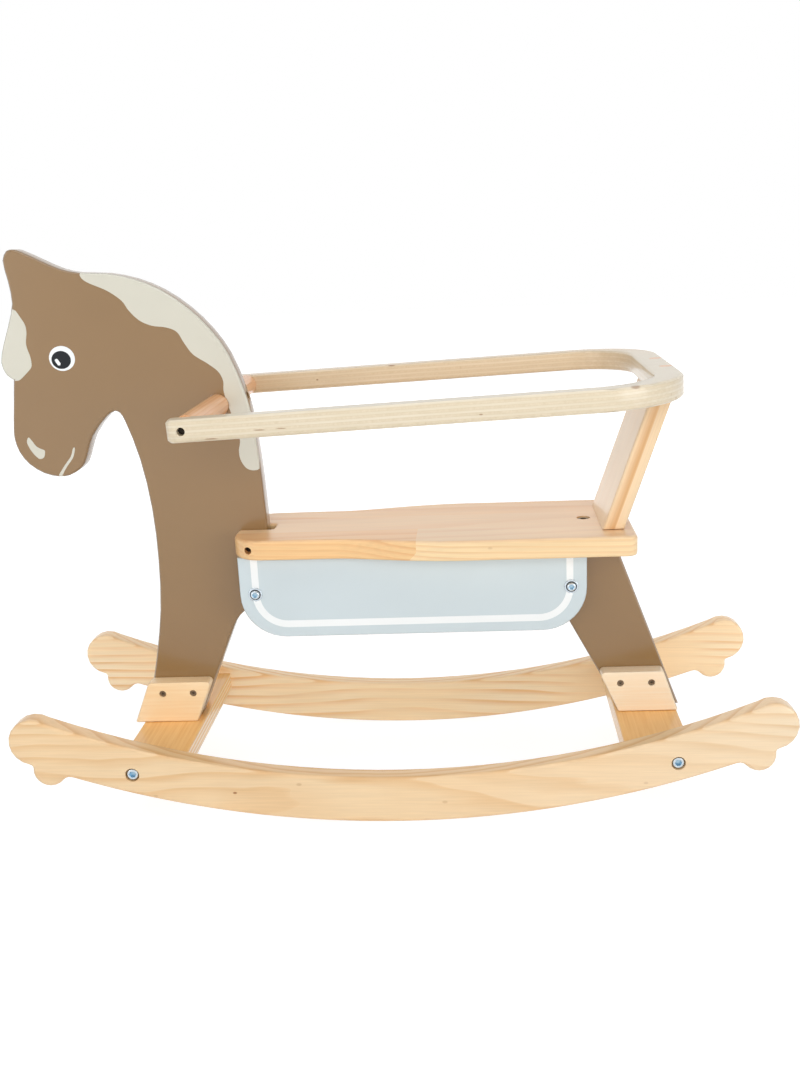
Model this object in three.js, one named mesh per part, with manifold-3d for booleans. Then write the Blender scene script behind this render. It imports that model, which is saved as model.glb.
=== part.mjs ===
// Child's rocking horse: a horse-shaped board on two wooden rockers, with a seat, a backrest,
// a guard ring round the child and a handlebar through the neck.
// Millimetres, +Z up. The nose points along -X and the rockers stand on z = 0.
// The horse's own left is -Y and its right is +Y.
import * as THREE from 'three';
import { mergeVertices } from 'three/addons/utils/BufferGeometryUtils.js';
import Module from 'manifold-3d';

// ---------------------------------------------------------------- driving dimensions

// Fit of a pin, screw or dowel in its hole, and of cut pieces that meet at an angle
const fitGap = 0.3;

// Rockers
const rockerLength = 682;
const rockerSpan = 228; // over the outer faces
const rockerThick = 18;
const rockerDepth = 42.6; // at the middle
const rockerBottomRadius = 878;
const rockerTopRadius = 851;
const lobeRadius = 21.3; // round end of a rocker
const lobeRise = 0.5; // how far the lobe stands proud of the top curve
const bumpRadius = 14.4; // stop under each end
const bumpInset = 33; // from the rocker's end to the stop's centre
const bumpFillet = 8; // between the stop and the bottom curve
const notchFillet = 3; // between the stop and the lobe

// Crossbars between the rockers
const barThick = 18;
const barWidth = 57;
const barSpacing = 444; // centre to centre
const barBottom = 41.6; // height of the underside
const barShift = 1.7; // midway between them, behind the rockers' middle

// Horse-shaped body board
const boardThick = 18;
const neckBack = -120.4; // back edge of the neck where it leaves the seat
const bellyDrop = 53; // belly below the seat's underside
const bellyRadius = 36;
const boardRearInset = 14.4; // the seat reaches this far behind the board
const footLead = 1.7; // the feet's and cleats' middles in front of the crossbars' middles
const frontFootOut = 27; // foot edges, outwards and inwards from the foot's middle
const frontFootIn = 25;
const rearFootOut = 34.1;
const rearFootIn = 22.5;
const rearLegRun = 59.2; // how far the inner edge of each leg leans inwards, foot to belly
const frontLegRun = 47.5;
const earHeight = 254.65; // ear's tip above the seat

// Cleats beside each foot
const cleatThick = 15;
const cleatHeight = 39.5;
const cleatFootOut = { front: 34.2, rear: 32.2 }; // outwards and inwards from the foot's middle
const cleatFootIn = { front: 25, rear: 23 };
const cleatTopOut = 18.3;
const cleatTopIn = 41.2;
const cleatTopRadius = 3.5;
const cleatFootRadius = 1.2;
const cleatShift = 0.8; // outwards in front, inwards at the rear

// Seat
const seatTop = 241.6;
const seatThick = 18;
const seatLength = 355.8;
const seatWidth = 141; // at its widest
const seatLead = 26.4; // in front of the neck's back edge
const seatFrontRadius = 27; // front and rear corners
const seatRearRadius = 8;
const slotEndGap = 5.4; // slot behind the neck's back edge
const slotEndRadius = 2;
const slotMouthRadius = 3;
const seatScrewInset = 15.3; // side screws from the seat's front edge
const seatBoltInset = 41; // rear bolt from the seat's rear edge

// Backrest
const backThick = 18;
const backWidth = 94;
const backHeight = 121.3; // seat to guard ring
const backLean = THREE.MathUtils.degToRad(19.3);
const backInset = 18.8; // middle of its foot from the seat's rear edge
const backScrewSpacing = 58;

// Guard ring, in its own tilted frame
const ringThick = 18;
const ringTilt = THREE.MathUtils.degToRad(2.31);
const ringWidth = 284;
const armWidth = 18.5;
const ringRearWidth = 24.2;
const ringOverhang = 11.6; // behind the middle of the backrest
const ringOuterRadius = 75;
const ringInnerRadius = 57;
const ringEndRadius = 7;

// Handlebar
const handlebarRadius = 10;
const handlebarLead = 35.8; // in front of the neck's back edge at the seat
const handlebarInset = 12.6; // from the ring's front ends
const lockScrewPitch = THREE.MathUtils.degToRad(15.7); // square to the neck's back edge

// Saddle panels
const panelThick = 12;
const panelSpan = 80; // over the outer faces
const panelLength = 311.4;
const panelHeight = 75.7;
const panelRadius = 40;
const panelInset = 3; // behind the seat's front edge
const panelBoltInset = 14;
const panelBoltDrop = 34.5; // below the seat's underside
const spacerRadius = 9;

// Eased edges
const softEase = 2.5;
const boardEase = 2;
const fineEase = 1;

// M6 bolts through the rockers, the seat and the saddle
const boltRadius = 3;
const headRadius = 5;
const headHeight = 5.5;
const headRecess = 1; // below the wood's surface
const socketAcross = 5;
const nutRadius = 5; // barrel nuts
const nutLength = 12;
const nutHole = 7; // cross hole from the nut's open end
const rockerBoltOffset = 15; // outwards from the crossbar's centre
const rockerNutInset = 34; // from the crossbar's end
const rockerBoltPast = 8; // bolt past the middle of its nut
const seatNutDrop = 27; // below the seat's underside
const flangeRadius = 6.3; // flat flange of the saddle bolts and their sleeve nuts
const flangeThick = 1.2;
const domeRadius = 4.2;
const domeHeight = 2;
const saddleSocketAcross = 4;
const sleeveRadius = 4;
const sleeveLength = 27;
const saddleBoltPast = 18; // bolt inside its sleeve nut
const boreSpare = 2; // sleeve nut's bore beyond the bolt's end

// M4 connectors through the cleats and feet
const cleatBoltRadius = 2;
const cleatHeadRadius = 3;
const cleatHeadHeight = 4;
const cleatRecess = 1.5;
const cleatSocketAcross = 2.5;
const cleatSleeveLength = 12;
const cleatBoltPast = 9;
const cleatBoltOut = 6.4; // outwards and inwards from the foot's middle
const cleatBoltIn = 22.3;
const cleatBoltRise = 28.5; // above the crossbar

// Wood screws
const screwRadius = 2;
const screwHeadRadius = 4;
const smallHeadRadius = 3.1;
const screwHeadHeight = 3;
const screwTip = 4;
const barScrewLength = 33;
const barScrewOut = 3.5; // outwards from the foot's middle
const seatScrewRecess = 11;
const seatScrewPast = 8; // into the neck
const backScrewLength = 50;
const backScrewRecess = 5;
const ringScrewLength = 38;
const ringScrewForward = 3; // in front of the backrest's middle
const plugRadius = 5;
const plugLength = 6;
const handlebarScrewLength = 45;
const handlebarScrewRecess = 5;
const lockScrewPast = 3; // into the handlebar, short of its axis
const lockScrewRecess = 3;

// Wooden locating dowels between rockers and crossbars
const dowelRadius = 4;
const dowelLength = 30;
const dowelInRocker = 12;
const dowelIn = 13; // inwards from the crossbar's centre

// Facets
const chordGap = 0.15; // between a fillet's arc and its chords
const easeStep = 1.6; // an edge is rounded in steps of about this height
const roundSides = 24;
const boltSides = 12;
const screwSides = 8;

// ---------------------------------------------------------------- places worked out from them

const barTop = barBottom + barThick;
const barMid = barBottom + barThick / 2;
const rockerInner = rockerSpan / 2 - rockerThick;
const seatUnder = seatTop - seatThick;
const seatMid = seatTop - seatThick / 2;
const seatFront = neckBack - seatLead;
const seatRear = seatFront + seatLength;
const slotHalf = boardThick / 2 + fitGap;
const backFoot = new THREE.Vector2(seatRear - backInset, seatTop);
const backTop = new THREE.Vector2(backFoot.x + backHeight * Math.tan(backLean), seatTop + backHeight);
const panelFront = seatFront + panelInset;
const panelOuter = panelSpan / 2;
const panelInner = panelOuter - panelThick;
const spacerLength = panelInner - boardThick / 2;
const handlebarW = ringThick / 2; // handlebar's place in the ring's frame, W upwards and U rearwards
const handlebarRun = neckBack - handlebarLead - backTop.x + handlebarW * Math.sin(ringTilt);
const handlebarU = handlebarRun / Math.cos(ringTilt);
const ringFront = handlebarU - handlebarInset;
const ringInnerHalf = ringWidth / 2 - armWidth;
const barX = { front: barShift - barSpacing / 2, rear: barShift + barSpacing / 2 };
const footX = { front: barX.front - footLead, rear: barX.rear - footLead };
const outward = { front: -1, rear: 1 };
const sideY = { left: -1, right: 1 };

// ---------------------------------------------------------------- solids

const wasm = await Module();
wasm.setup();

// Closed mesh from a geometry that is still where it was made, so that its seam points match:
// shared corners are merged, and the flat triangles on a turned piece's axis are left out
function closed(geometry) {
  geometry.deleteAttribute('normal');
  geometry.deleteAttribute('uv');
  const merged = mergeVertices(geometry);
  const index = Array.from(merged.index.array);
  const triangles = [];
  for (let i = 0; i < index.length; i += 3) {
    const [a, b, c] = index.slice(i, i + 3);
    if (a !== b && b !== c && c !== a) {
      triangles.push(a, b, c);
    }
  }
  merged.setIndex(triangles);
  merged.computeVertexNormals();
  return merged;
}

function toSolid(geometry) {
  const vertProperties = new Float32Array(geometry.attributes.position.array);
  const triVerts = new Uint32Array(geometry.index.array);
  return new wasm.Manifold(new wasm.Mesh({ numProp: 3, vertProperties, triVerts }));
}

function toGeometry(solid) {
  const mesh = solid.getMesh();
  const geometry = new THREE.BufferGeometry();
  geometry.setAttribute('position', new THREE.BufferAttribute(new Float32Array(mesh.vertProperties), 3));
  geometry.setIndex(new THREE.BufferAttribute(new Uint32Array(mesh.triVerts), 1));
  geometry.computeVertexNormals();
  return geometry;
}

function cutFrom(geometry, ...tools) {
  let solid = toSolid(geometry);
  for (const tool of tools) {
    solid = solid.subtract(toSolid(tool));
  }
  return toGeometry(solid);
}

// Straight round rod between two points, used for pins and for drilling
function rod(radius, start, end, sides = boltSides) {
  const along = new THREE.Vector3().subVectors(end, start);
  const geometry = closed(new THREE.CylinderGeometry(radius, radius, along.length(), sides));
  const turn = new THREE.Quaternion().setFromUnitVectors(new THREE.Vector3(0, 1, 0), along.normalize());
  geometry.applyQuaternion(turn);
  const middle = new THREE.Vector3().addVectors(start, end).multiplyScalar(0.5);
  return geometry.translate(middle.x, middle.y, middle.z);
}

const at = (x, y, z) => new THREE.Vector3(x, y, z);

// Hole along Y at (x, z) between two values of y
const holeAcross = (radius, x, z, fromY, toY, sides) => rod(radius, at(x, fromY, z), at(x, toY, z), sides);

// Hole along Z at (x, y) between two heights
const holeUp = (radius, x, y, fromZ, toZ, sides) => rod(radius, at(x, y, fromZ), at(x, y, toZ), sides);

// Turned piece about the Z axis, from pairs of radius and height, lowest first
function turned(profile, sides) {
  const points = profile.map(([radius, height]) => new THREE.Vector2(radius, height));
  return closed(new THREE.LatheGeometry(points, sides)).rotateX(Math.PI / 2);
}

// Six-sided socket down into a head whose top is at height `top` and whose shank runs to +Z
function hexSocket(across, top, depth) {
  const cornerRadius = across / Math.sqrt(3);
  const socket = closed(new THREE.CylinderGeometry(cornerRadius, cornerRadius, 2 * depth, 6));
  return socket.rotateX(Math.PI / 2).translate(0, 0, top);
}

// ---------------------------------------------------------------- outlines

const point = (x, y) => new THREE.Vector2(x, y);

function arc(centre, radius, fromAngle, toAngle, steps) {
  const points = [];
  for (let i = 0; i <= steps; i += 1) {
    const angle = fromAngle + ((toAngle - fromAngle) * i) / steps;
    points.push(point(centre.x + radius * Math.cos(angle), centre.y + radius * Math.sin(angle)));
  }
  return points;
}

// Polygon from [x, y, radius] corners, each rounded by its radius
function roundedPolygon(corners) {
  const count = corners.length;
  return corners.flatMap(([x, y, radius], i) => {
    const corner = point(x, y);
    if (!radius) {
      return [corner];
    }
    const before = point(...corners[(i + count - 1) % count]).sub(corner).normalize();
    const after = point(...corners[(i + 1) % count]).sub(corner).normalize();
    const half = Math.acos(before.dot(after)) / 2;
    const middle = before.clone().add(after).normalize();
    const centre = corner.clone().addScaledVector(middle, radius / Math.sin(half));
    const start = corner.clone().addScaledVector(before, radius / Math.tan(half)).sub(centre);
    const sweep = Math.PI - 2 * half;
    const sign = Math.sign(before.cross(after)) || 1;
    const steps = Math.ceil(sweep / (2 * Math.acos(1 - chordGap / radius)));
    return arc(centre, radius, start.angle(), start.angle() - sign * sweep, steps);
  });
}

// Smooth curve through points, with the same number of steps between each pair
function smooth(points, stepsEach) {
  const through = points.map((p) => new THREE.Vector3(p.x, p.y, 0));
  const curve = new THREE.CatmullRomCurve3(through, false, 'centripetal');
  return curve.getPoints((points.length - 1) * stepsEach).map((p) => point(p.x, p.y));
}

// Plate from its outline, its lower face at z = 0, with edges rounded by `ease`
function plate(outline, thick, ease) {
  const geometry = new THREE.ExtrudeGeometry(new THREE.Shape(outline), {
    depth: thick - 2 * ease,
    bevelThickness: ease,
    bevelSize: ease,
    bevelOffset: -ease,
    bevelSegments: Math.max(1, Math.round(ease / easeStep)),
    curveSegments: 1,
  });
  return closed(geometry).translate(0, 0, ease);
}

// Plate lying flat, its top at z = 0, from an outline in x and y
const levelPlate = (outline, thick, ease) => plate(outline, thick, ease).translate(0, 0, -thick);

// Plate standing on edge, its middle at y = 0, from an outline in x and z
function uprightPlate(outline, thick, ease) {
  return plate(outline, thick, ease).rotateX(Math.PI / 2).translate(0, thick / 2, 0);
}

// The two points where two circles cross
function circlesCross(centreA, radiusA, centreB, radiusB) {
  const line = new THREE.Vector2().subVectors(centreB, centreA);
  const distance = line.length();
  line.normalize();
  const along = (radiusA ** 2 - radiusB ** 2 + distance ** 2) / (2 * distance);
  const across = Math.sqrt(radiusA ** 2 - along ** 2);
  const foot = centreA.clone().addScaledVector(line, along);
  const side = point(-line.y, line.x);
  return [foot.clone().addScaledVector(side, across), foot.clone().addScaledVector(side, -across)];
}

// Distance from a point along a direction to the first edge of an outline
function reachToEdge(outline, start, direction) {
  let nearest = Infinity;
  outline.forEach((a, i) => {
    const b = outline[(i + 1) % outline.length];
    const edge = new THREE.Vector2().subVectors(b, a);
    const toStart = new THREE.Vector2().subVectors(a, start);
    const bottom = direction.cross(edge);
    const reach = toStart.cross(edge) / bottom;
    const share = toStart.cross(direction) / bottom;
    if (reach > 0 && share >= 0 && share <= 1) {
      nearest = Math.min(nearest, reach);
    }
  });
  return nearest;
}

// ---------------------------------------------------------------- assembly helpers

const horse = new THREE.Group();

const looks = {
  pine: { color: 0xf0d3a2, roughness: 0.45, metalness: 0 },
  seatPine: { color: 0xe6bf92, roughness: 0.4, metalness: 0 },
  ply: { color: 0xe9d7b2, roughness: 0.5, metalness: 0 },
  dowel: { color: 0xd9a06e, roughness: 0.45, metalness: 0 },
  brownPaint: { color: 0xa08463, roughness: 0.5, metalness: 0 },
  bluePaint: { color: 0xcdd7da, roughness: 0.5, metalness: 0 },
  zinc: { color: 0xb9bdc0, roughness: 0.3, metalness: 1 },
};

function add(name, geometry, look, parent = horse) {
  const mesh = new THREE.Mesh(geometry, new THREE.MeshStandardMaterial(looks[look]));
  mesh.name = name;
  parent.add(mesh);
  return mesh;
}

// Places a fastener, whose shank runs along its own +Z, so that it points along `direction`
function drive(mesh, position, direction) {
  mesh.position.copy(position);
  mesh.quaternion.setFromUnitVectors(at(0, 0, 1), direction.clone().normalize());
}

// ---------------------------------------------------------------- fasteners

// Cap bolt: its head stands on z = 0 and its shank runs up to `length`
function capBolt(radius, length, capRadius, capHeight, across) {
  const body = turned([[0, -capHeight], [capRadius, -capHeight], [capRadius, 0],
    [radius, 0], [radius, length], [0, length]], boltSides);
  return cutFrom(body, hexSocket(across, -capHeight, capHeight / 2));
}

// Wood screw with a countersunk head and a pointed end
function woodScrew(length, topRadius) {
  return turned([[0, 0], [topRadius, 0], [screwRadius, screwHeadHeight],
    [screwRadius, length - screwTip], [0, length]], screwSides);
}

// Barrel nut along Z with a cross hole for the bolt, `hole` above its lower end
function barrelNut(length, hole) {
  const body = rod(nutRadius, at(0, 0, 0), at(0, 0, length), boltSides);
  return cutFrom(body, holeAcross(boltRadius + fitGap, 0, hole, -2 * nutRadius, 2 * nutRadius, screwSides));
}

// Sleeve nut: a closed outer end at z = 0 and a bore open at `length`
function sleeveNut(outerRadius, boreRadius, length, boreDepth) {
  return turned([[0, 0], [outerRadius, 0], [outerRadius, length],
    [boreRadius, length], [boreRadius, length - boreDepth], [0, length - boreDepth]], boltSides);
}

// ---------------------------------------------------------------- rockers

// Centre of a fillet between two round edges, and where it meets each of them
function filletBetween(centreA, radiusA, centreB, radiusB, radius, pick) {
  const centre = pick(circlesCross(centreA, radiusA + radius, centreB, radiusB + radius));
  const meet = (from, reach) => from.clone().lerp(centre, reach / (reach + radius));
  return { centre, radius, first: meet(centreA, radiusA), last: meet(centreB, radiusB) };
}

const angleFrom = (centre, p) => Math.atan2(p.y - centre.y, p.x - centre.x);

// Arc of a fillet, which turns the other way from the round edges it joins
function filletArc({ centre, radius, first, last }, steps) {
  const from = angleFrom(centre, first);
  const to = angleFrom(centre, last);
  return arc(centre, radius, from, to > from ? to - 2 * Math.PI : to, steps);
}

function rockerEnd() {
  const half = rockerLength / 2;
  const bottomCentre = point(0, rockerBottomRadius);
  const topCentre = point(0, rockerDepth + rockerTopRadius);
  const lobeReach = rockerTopRadius + lobeRadius - lobeRise;
  const lobeX = half - lobeRadius;
  const lobeCentre = point(lobeX, topCentre.y - Math.sqrt(lobeReach ** 2 - lobeX ** 2));
  const bumpX = half - bumpInset;
  const bumpCentre = point(bumpX, rockerBottomRadius - Math.sqrt(rockerBottomRadius ** 2 - bumpX ** 2));
  const inner = (pair) => (pair[0].x < pair[1].x ? pair[0] : pair[1]);
  const outer = (pair) => (pair[0].x > pair[1].x ? pair[0] : pair[1]);
  const heel = filletBetween(bottomCentre, rockerBottomRadius, bumpCentre, bumpRadius, bumpFillet, inner);
  const notch = filletBetween(bumpCentre, bumpRadius, lobeCentre, lobeRadius, notchFillet, outer);
  const lobeEnd = inner(circlesCross(topCentre, rockerTopRadius, lobeCentre, lobeRadius));
  const bottomSteps = 16;
  const bumpSteps = 9;
  const lobeSteps = 11;
  const topSteps = 14;
  const filletSteps = 3;
  const down = -Math.PI / 2;
  const bumpFrom = angleFrom(bumpCentre, heel.last);
  const bottom = arc(bottomCentre, rockerBottomRadius, down, angleFrom(bottomCentre, heel.first), bottomSteps);
  const bump = arc(bumpCentre, bumpRadius, bumpFrom > 0 ? bumpFrom - 2 * Math.PI : bumpFrom,
    angleFrom(bumpCentre, notch.first), bumpSteps);
  const lobe = arc(lobeCentre, lobeRadius, angleFrom(lobeCentre, notch.last),
    angleFrom(lobeCentre, lobeEnd), lobeSteps);
  const top = arc(topCentre, rockerTopRadius, angleFrom(topCentre, lobeEnd), down, topSteps);
  const stretches = [bottom, filletArc(heel, filletSteps), bump, filletArc(notch, filletSteps), lobe, top];
  return stretches.flatMap((stretch, i) => (i ? stretch.slice(1) : stretch));
}

function rockerOutline() {
  const rightHalf = rockerEnd();
  const leftHalf = rightHalf.slice(1, -1).reverse().map((p) => point(-p.x, p.y));
  return [...rightHalf, ...leftHalf];
}

const rockerBoltX = (end) => barX[end] + outward[end] * rockerBoltOffset;
const rockerDowelX = (end) => barX[end] - outward[end] * dowelIn;
const capBore = headRadius + 4 * fitGap;
const capDepth = headHeight + headRecess;

// Cuts in a rocker, whose outer face looks towards `side` and whose middle is at y = 0
function rockerCuts(side) {
  const face = (side * rockerThick) / 2;
  const boreEnd = face - side * capDepth;
  const dowelEnd = -face + side * (dowelInRocker + fitGap);
  return ['front', 'rear'].flatMap((end) => [
    holeAcross(boltRadius + fitGap, rockerBoltX(end), barMid, -rockerThick, rockerThick),
    holeAcross(capBore, rockerBoltX(end), barMid, boreEnd, face + side * rockerThick, roundSides),
    holeAcross(dowelRadius + fitGap, rockerDowelX(end), barMid, -face - side, dowelEnd),
  ]);
}

for (const [sideName, side] of Object.entries(sideY)) {
  const blank = uprightPlate(rockerOutline(), rockerThick, softEase);
  const rocker = add(`rocker_${sideName}`, cutFrom(blank, ...rockerCuts(side)), 'pine');
  rocker.position.y = side * (rockerInner + rockerThick / 2);
}

// ---------------------------------------------------------------- crossbars and what joins them

const rockerBoltLength = rockerThick - capDepth + rockerNutInset + rockerBoltPast;
const boltInBar = rockerNutInset + rockerBoltPast + fitGap;
const dowelInBar = dowelLength - dowelInRocker + fitGap;

const besideBoard = (boardThick + cleatThick) / 2; // middle of a cleat

function crossbar(end) {
  const out = outward[end];
  const mid = -barThick / 2;
  const below = -2 * barThick;
  const outline = roundedPolygon([
    [-barWidth / 2, -rockerInner, 0],
    [barWidth / 2, -rockerInner, 0],
    [barWidth / 2, rockerInner, 0],
    [-barWidth / 2, rockerInner, 0],
  ]);
  const cuts = Object.values(sideY).flatMap((side) => {
    const endY = side * rockerInner;
    const nutY = endY - side * rockerNutInset;
    const screwX = out * barScrewOut - footLead;
    const screwY = side * besideBoard;
    return [
      holeAcross(boltRadius + fitGap, out * rockerBoltOffset, mid, endY + side, endY - side * boltInBar),
      holeAcross(dowelRadius + fitGap, -out * dowelIn, mid, endY + side, endY - side * dowelInBar),
      holeUp(nutRadius + fitGap, out * rockerBoltOffset, nutY, below, mid - nutHole + nutLength + fitGap),
      holeUp(screwRadius + fitGap, screwX, screwY, below, barThick, screwSides),
      holeUp(screwHeadRadius + fitGap, screwX, screwY, below, -barThick + screwHeadHeight + fitGap),
    ];
  });
  return cutFrom(levelPlate(outline, barThick, fineEase), ...cuts);
}

for (const end of ['front', 'rear']) {
  add(`${end}_crossbar`, crossbar(end), 'ply').position.set(barX[end], 0, barTop);
  for (const [sideName, side] of Object.entries(sideY)) {
    const inward = at(0, -side, 0);
    const bolt = capBolt(boltRadius, rockerBoltLength, headRadius, headHeight, socketAcross);
    const boltY = side * (rockerSpan / 2 - capDepth);
    drive(add(`rocker_bolt_${end}_${sideName}`, bolt, 'zinc'), at(rockerBoltX(end), boltY, barMid), inward);
    const nut = barrelNut(nutLength, nutHole);
    const nutY = side * (rockerInner - rockerNutInset);
    add(`rocker_nut_${end}_${sideName}`, nut, 'zinc').position.set(rockerBoltX(end), nutY, barMid - nutHole);
    const pin = rod(dowelRadius, at(0, 0, 0), at(0, 0, dowelLength));
    const pinY = side * (rockerInner + dowelInRocker);
    drive(add(`rocker_dowel_${end}_${sideName}`, pin, 'dowel'), at(rockerDowelX(end), pinY, barMid), inward);
    const screw = woodScrew(barScrewLength, screwHeadRadius);
    const screwX = footX[end] + outward[end] * barScrewOut;
    add(`bar_screw_${end}_${sideName}`, screw, 'zinc').position.set(screwX, side * besideBoard, barBottom);
  }
}

// ---------------------------------------------------------------- cleats

// Cleat outline about its foot's middle, its foot at z = 0
function cleatOutline(end) {
  const corners = [
    [-cleatFootIn[end], 0, cleatFootRadius],
    [cleatFootOut[end], 0, cleatFootRadius],
    [cleatTopOut, cleatHeight, cleatTopRadius],
    [-cleatTopIn, cleatHeight, cleatTopRadius],
  ];
  return roundedPolygon(corners.map(([x, z, radius]) => [outward[end] * x, z, radius]));
}

const cleatX = { front: footX.front - cleatShift, rear: footX.rear - cleatShift };
const cleatBoltXs = (end) => [
  ['outer', footX[end] + outward[end] * cleatBoltOut],
  ['inner', footX[end] - outward[end] * cleatBoltIn],
];
const cleatBoltZ = barTop + cleatBoltRise;
const cleatOuter = boardThick / 2 + cleatThick;

function cleat(end, side) {
  const face = (side * cleatThick) / 2;
  const headDepth = cleatRecess + (side < 0 ? cleatHeadHeight : cleatSleeveLength);
  const cuts = cleatBoltXs(end).flatMap(([, x]) => [
    holeAcross(cleatBoltRadius + fitGap, x - cleatX[end], cleatBoltRise, -cleatThick, cleatThick, screwSides),
    holeAcross(cleatHeadRadius + fitGap, x - cleatX[end], cleatBoltRise, face + side, face - side * headDepth),
  ]);
  const screwX = footX[end] + outward[end] * barScrewOut - cleatX[end];
  cuts.push(holeUp(screwRadius + fitGap, screwX, 0, -1, barScrewLength - barThick + fitGap, screwSides));
  return cutFrom(uprightPlate(cleatOutline(end), cleatThick, fineEase), ...cuts);
}

const cleatBoltTaken = 2 * cleatRecess + cleatHeadHeight + cleatSleeveLength - cleatBoltPast;
const cleatBoltLength = 2 * cleatOuter - cleatBoltTaken;

for (const end of ['front', 'rear']) {
  for (const [sideName, side] of Object.entries(sideY)) {
    const mesh = add(`${end}_cleat_${sideName}`, cleat(end, side), 'ply');
    mesh.position.set(cleatX[end], side * besideBoard, barTop);
  }
  for (const [place, x] of cleatBoltXs(end)) {
    const bolt = capBolt(cleatBoltRadius, cleatBoltLength, cleatHeadRadius, cleatHeadHeight, cleatSocketAcross);
    const boltY = -cleatOuter + cleatRecess + cleatHeadHeight;
    drive(add(`cleat_bolt_${end}_${place}`, bolt, 'zinc'), at(x, boltY, cleatBoltZ), at(0, 1, 0));
    const boreDepth = cleatBoltPast + boreSpare;
    const nut = sleeveNut(cleatHeadRadius, cleatBoltRadius + fitGap, cleatSleeveLength, boreDepth);
    const nutY = cleatOuter - cleatRecess;
    drive(add(`cleat_nut_${end}_${place}`, nut, 'zinc'), at(x, nutY, cleatBoltZ), at(0, -1, 0));
  }
}

// ---------------------------------------------------------------- guard ring frame

const ringFrame = new THREE.Group();
ringFrame.position.set(backTop.x, 0, backTop.y);
ringFrame.rotation.y = -ringTilt;
horse.add(ringFrame);

const handlebarZ = backTop.y + handlebarU * Math.sin(ringTilt) + handlebarW * Math.cos(ringTilt);
const handlebarAxis = point(neckBack - handlebarLead, handlebarZ);

// ---------------------------------------------------------------- body board

// Head and neck as [x, z] from the neck's back edge at the seat's top
const chestCurve = [
  [-114.3, -120.9], [-106.3, -75.4], [-103.2, -26.7], [-104.2, 22], [-110.3, 67.5], [-120.1, 102.3],
  [-123.8, 109.7], [-128.1, 111.6], [-135.8, 107.3], [-150.5, 89.7], [-155.5, 78], [-160.7, 65.3],
  [-165.9, 59.9], [-175.7, 54.7], [-185, 53.8], [-198.3, 57.2], [-210.9, 65.9], [-218.5, 77.2],
  [-221.4, 89.2], [-221.1, 98.2], [-218, 120.7], [-215.1, 142],
];
const maneCurve = [
  [-215.1, 142], [-220.8, 146.6], [-224.2, 157.3], [-219.7, 173.8], [-212.9, 191], [-207.5, 208],
  [-208.7, 227.6], [-210.8, 244.6], [-206.6, 252.4], [-200.8, 253.5], [-195, 251.6], [-178.6, 243.5],
  [-162.1, 235.8], [-147.6, 232.4], [-121.6, 230.8], [-98.6, 225.4], [-76.6, 215.6], [-54.6, 199.6],
  [-36.1, 180], [-22.6, 158.7], [-11.9, 128.5], [-7.2, 109.6], [-4, 82.5], [-1.5, 45.8], [0, 0],
];
const drawnEarHeight = Math.max(...maneCurve.map(([, z]) => z));
const headScale = earHeight / drawnEarHeight;
const fromNeck = ([x, z]) => point(neckBack + x * headScale, seatTop + z * headScale);

function boardOutline() {
  const chest = [point(footX.front - frontFootOut, barTop), ...chestCurve.map(fromNeck)];
  const mane = maneCurve.map(fromNeck);
  const belly = seatUnder - bellyDrop;
  const rear = roundedPolygon([
    [neckBack, seatUnder, 0],
    [seatRear - boardRearInset, seatUnder, 0],
    [footX.rear + rearFootOut, barTop, 0],
    [footX.rear - rearFootIn, barTop, 0],
    [footX.rear - rearFootIn - rearLegRun, belly, bellyRadius],
    [footX.front + frontFootIn + frontLegRun, belly, bellyRadius],
    [footX.front + frontFootIn, barTop, 0],
    [footX.front - frontFootOut, barTop, 0],
  ]);
  return [...smooth(chest, 2), ...smooth(mane, 2).slice(1), ...rear.slice(0, -1)];
}

const outline = boardOutline();
const panelBoltX = { front: panelFront + panelBoltInset, rear: panelFront + panelLength - panelBoltInset };
const panelBoltZ = seatUnder - panelBoltDrop;
const seatScrewX = seatFront + seatScrewInset;
const seatBoltX = seatRear - seatBoltInset;
const seatBoltLength = seatThick - capDepth + seatNutDrop + rockerBoltPast;
const seatNutZ = seatUnder - seatNutDrop;
const seatNutY = boardThick / 2 - 1; // open end of the seat's barrel nut
const past = boardThick; // ends of a hole that clears both of the board's faces
const lockDirection = point(Math.cos(lockScrewPitch), Math.sin(lockScrewPitch));
const lockReach = reachToEdge(outline, handlebarAxis, lockDirection);
const alongLock = (distance) => at(handlebarAxis.x + lockDirection.x * distance, 0,
  handlebarAxis.y + lockDirection.y * distance);
const lockStart = lockReach - lockScrewRecess;
const lockLength = lockStart - lockScrewPast;

const boardCuts = [
  holeAcross(handlebarRadius + fitGap, handlebarAxis.x, handlebarAxis.y, -past, past, roundSides),
  rod(screwRadius + fitGap, alongLock(0), alongLock(2 * lockReach), screwSides),
  rod(smallHeadRadius + fitGap, alongLock(lockStart - screwHeadHeight - fitGap), alongLock(2 * lockReach)),
  holeAcross(screwRadius + fitGap, seatScrewX, seatMid, -past, past, screwSides),
  holeUp(boltRadius + fitGap, seatBoltX, 0, seatTop, seatNutZ - rockerBoltPast - fitGap),
  holeAcross(nutRadius + fitGap, seatBoltX, seatNutZ, past, seatNutY - nutLength - fitGap),
  ...Object.values(panelBoltX).map((x) => (
    holeAcross(boltRadius + fitGap, x, panelBoltZ, -past, past))),
  ...['front', 'rear'].flatMap((end) => cleatBoltXs(end).map(([, x]) => (
    holeAcross(cleatBoltRadius + fitGap, x, cleatBoltZ, -past, past, screwSides)))),
];

add('body_board', cutFrom(uprightPlate(outline, boardThick, boardEase), ...boardCuts), 'brownPaint');

const lockScrew = add('handlebar_lock_screw', woodScrew(lockLength, smallHeadRadius), 'zinc');
drive(lockScrew, alongLock(lockStart), at(-lockDirection.x, 0, -lockDirection.y));

// ---------------------------------------------------------------- seat

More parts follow.
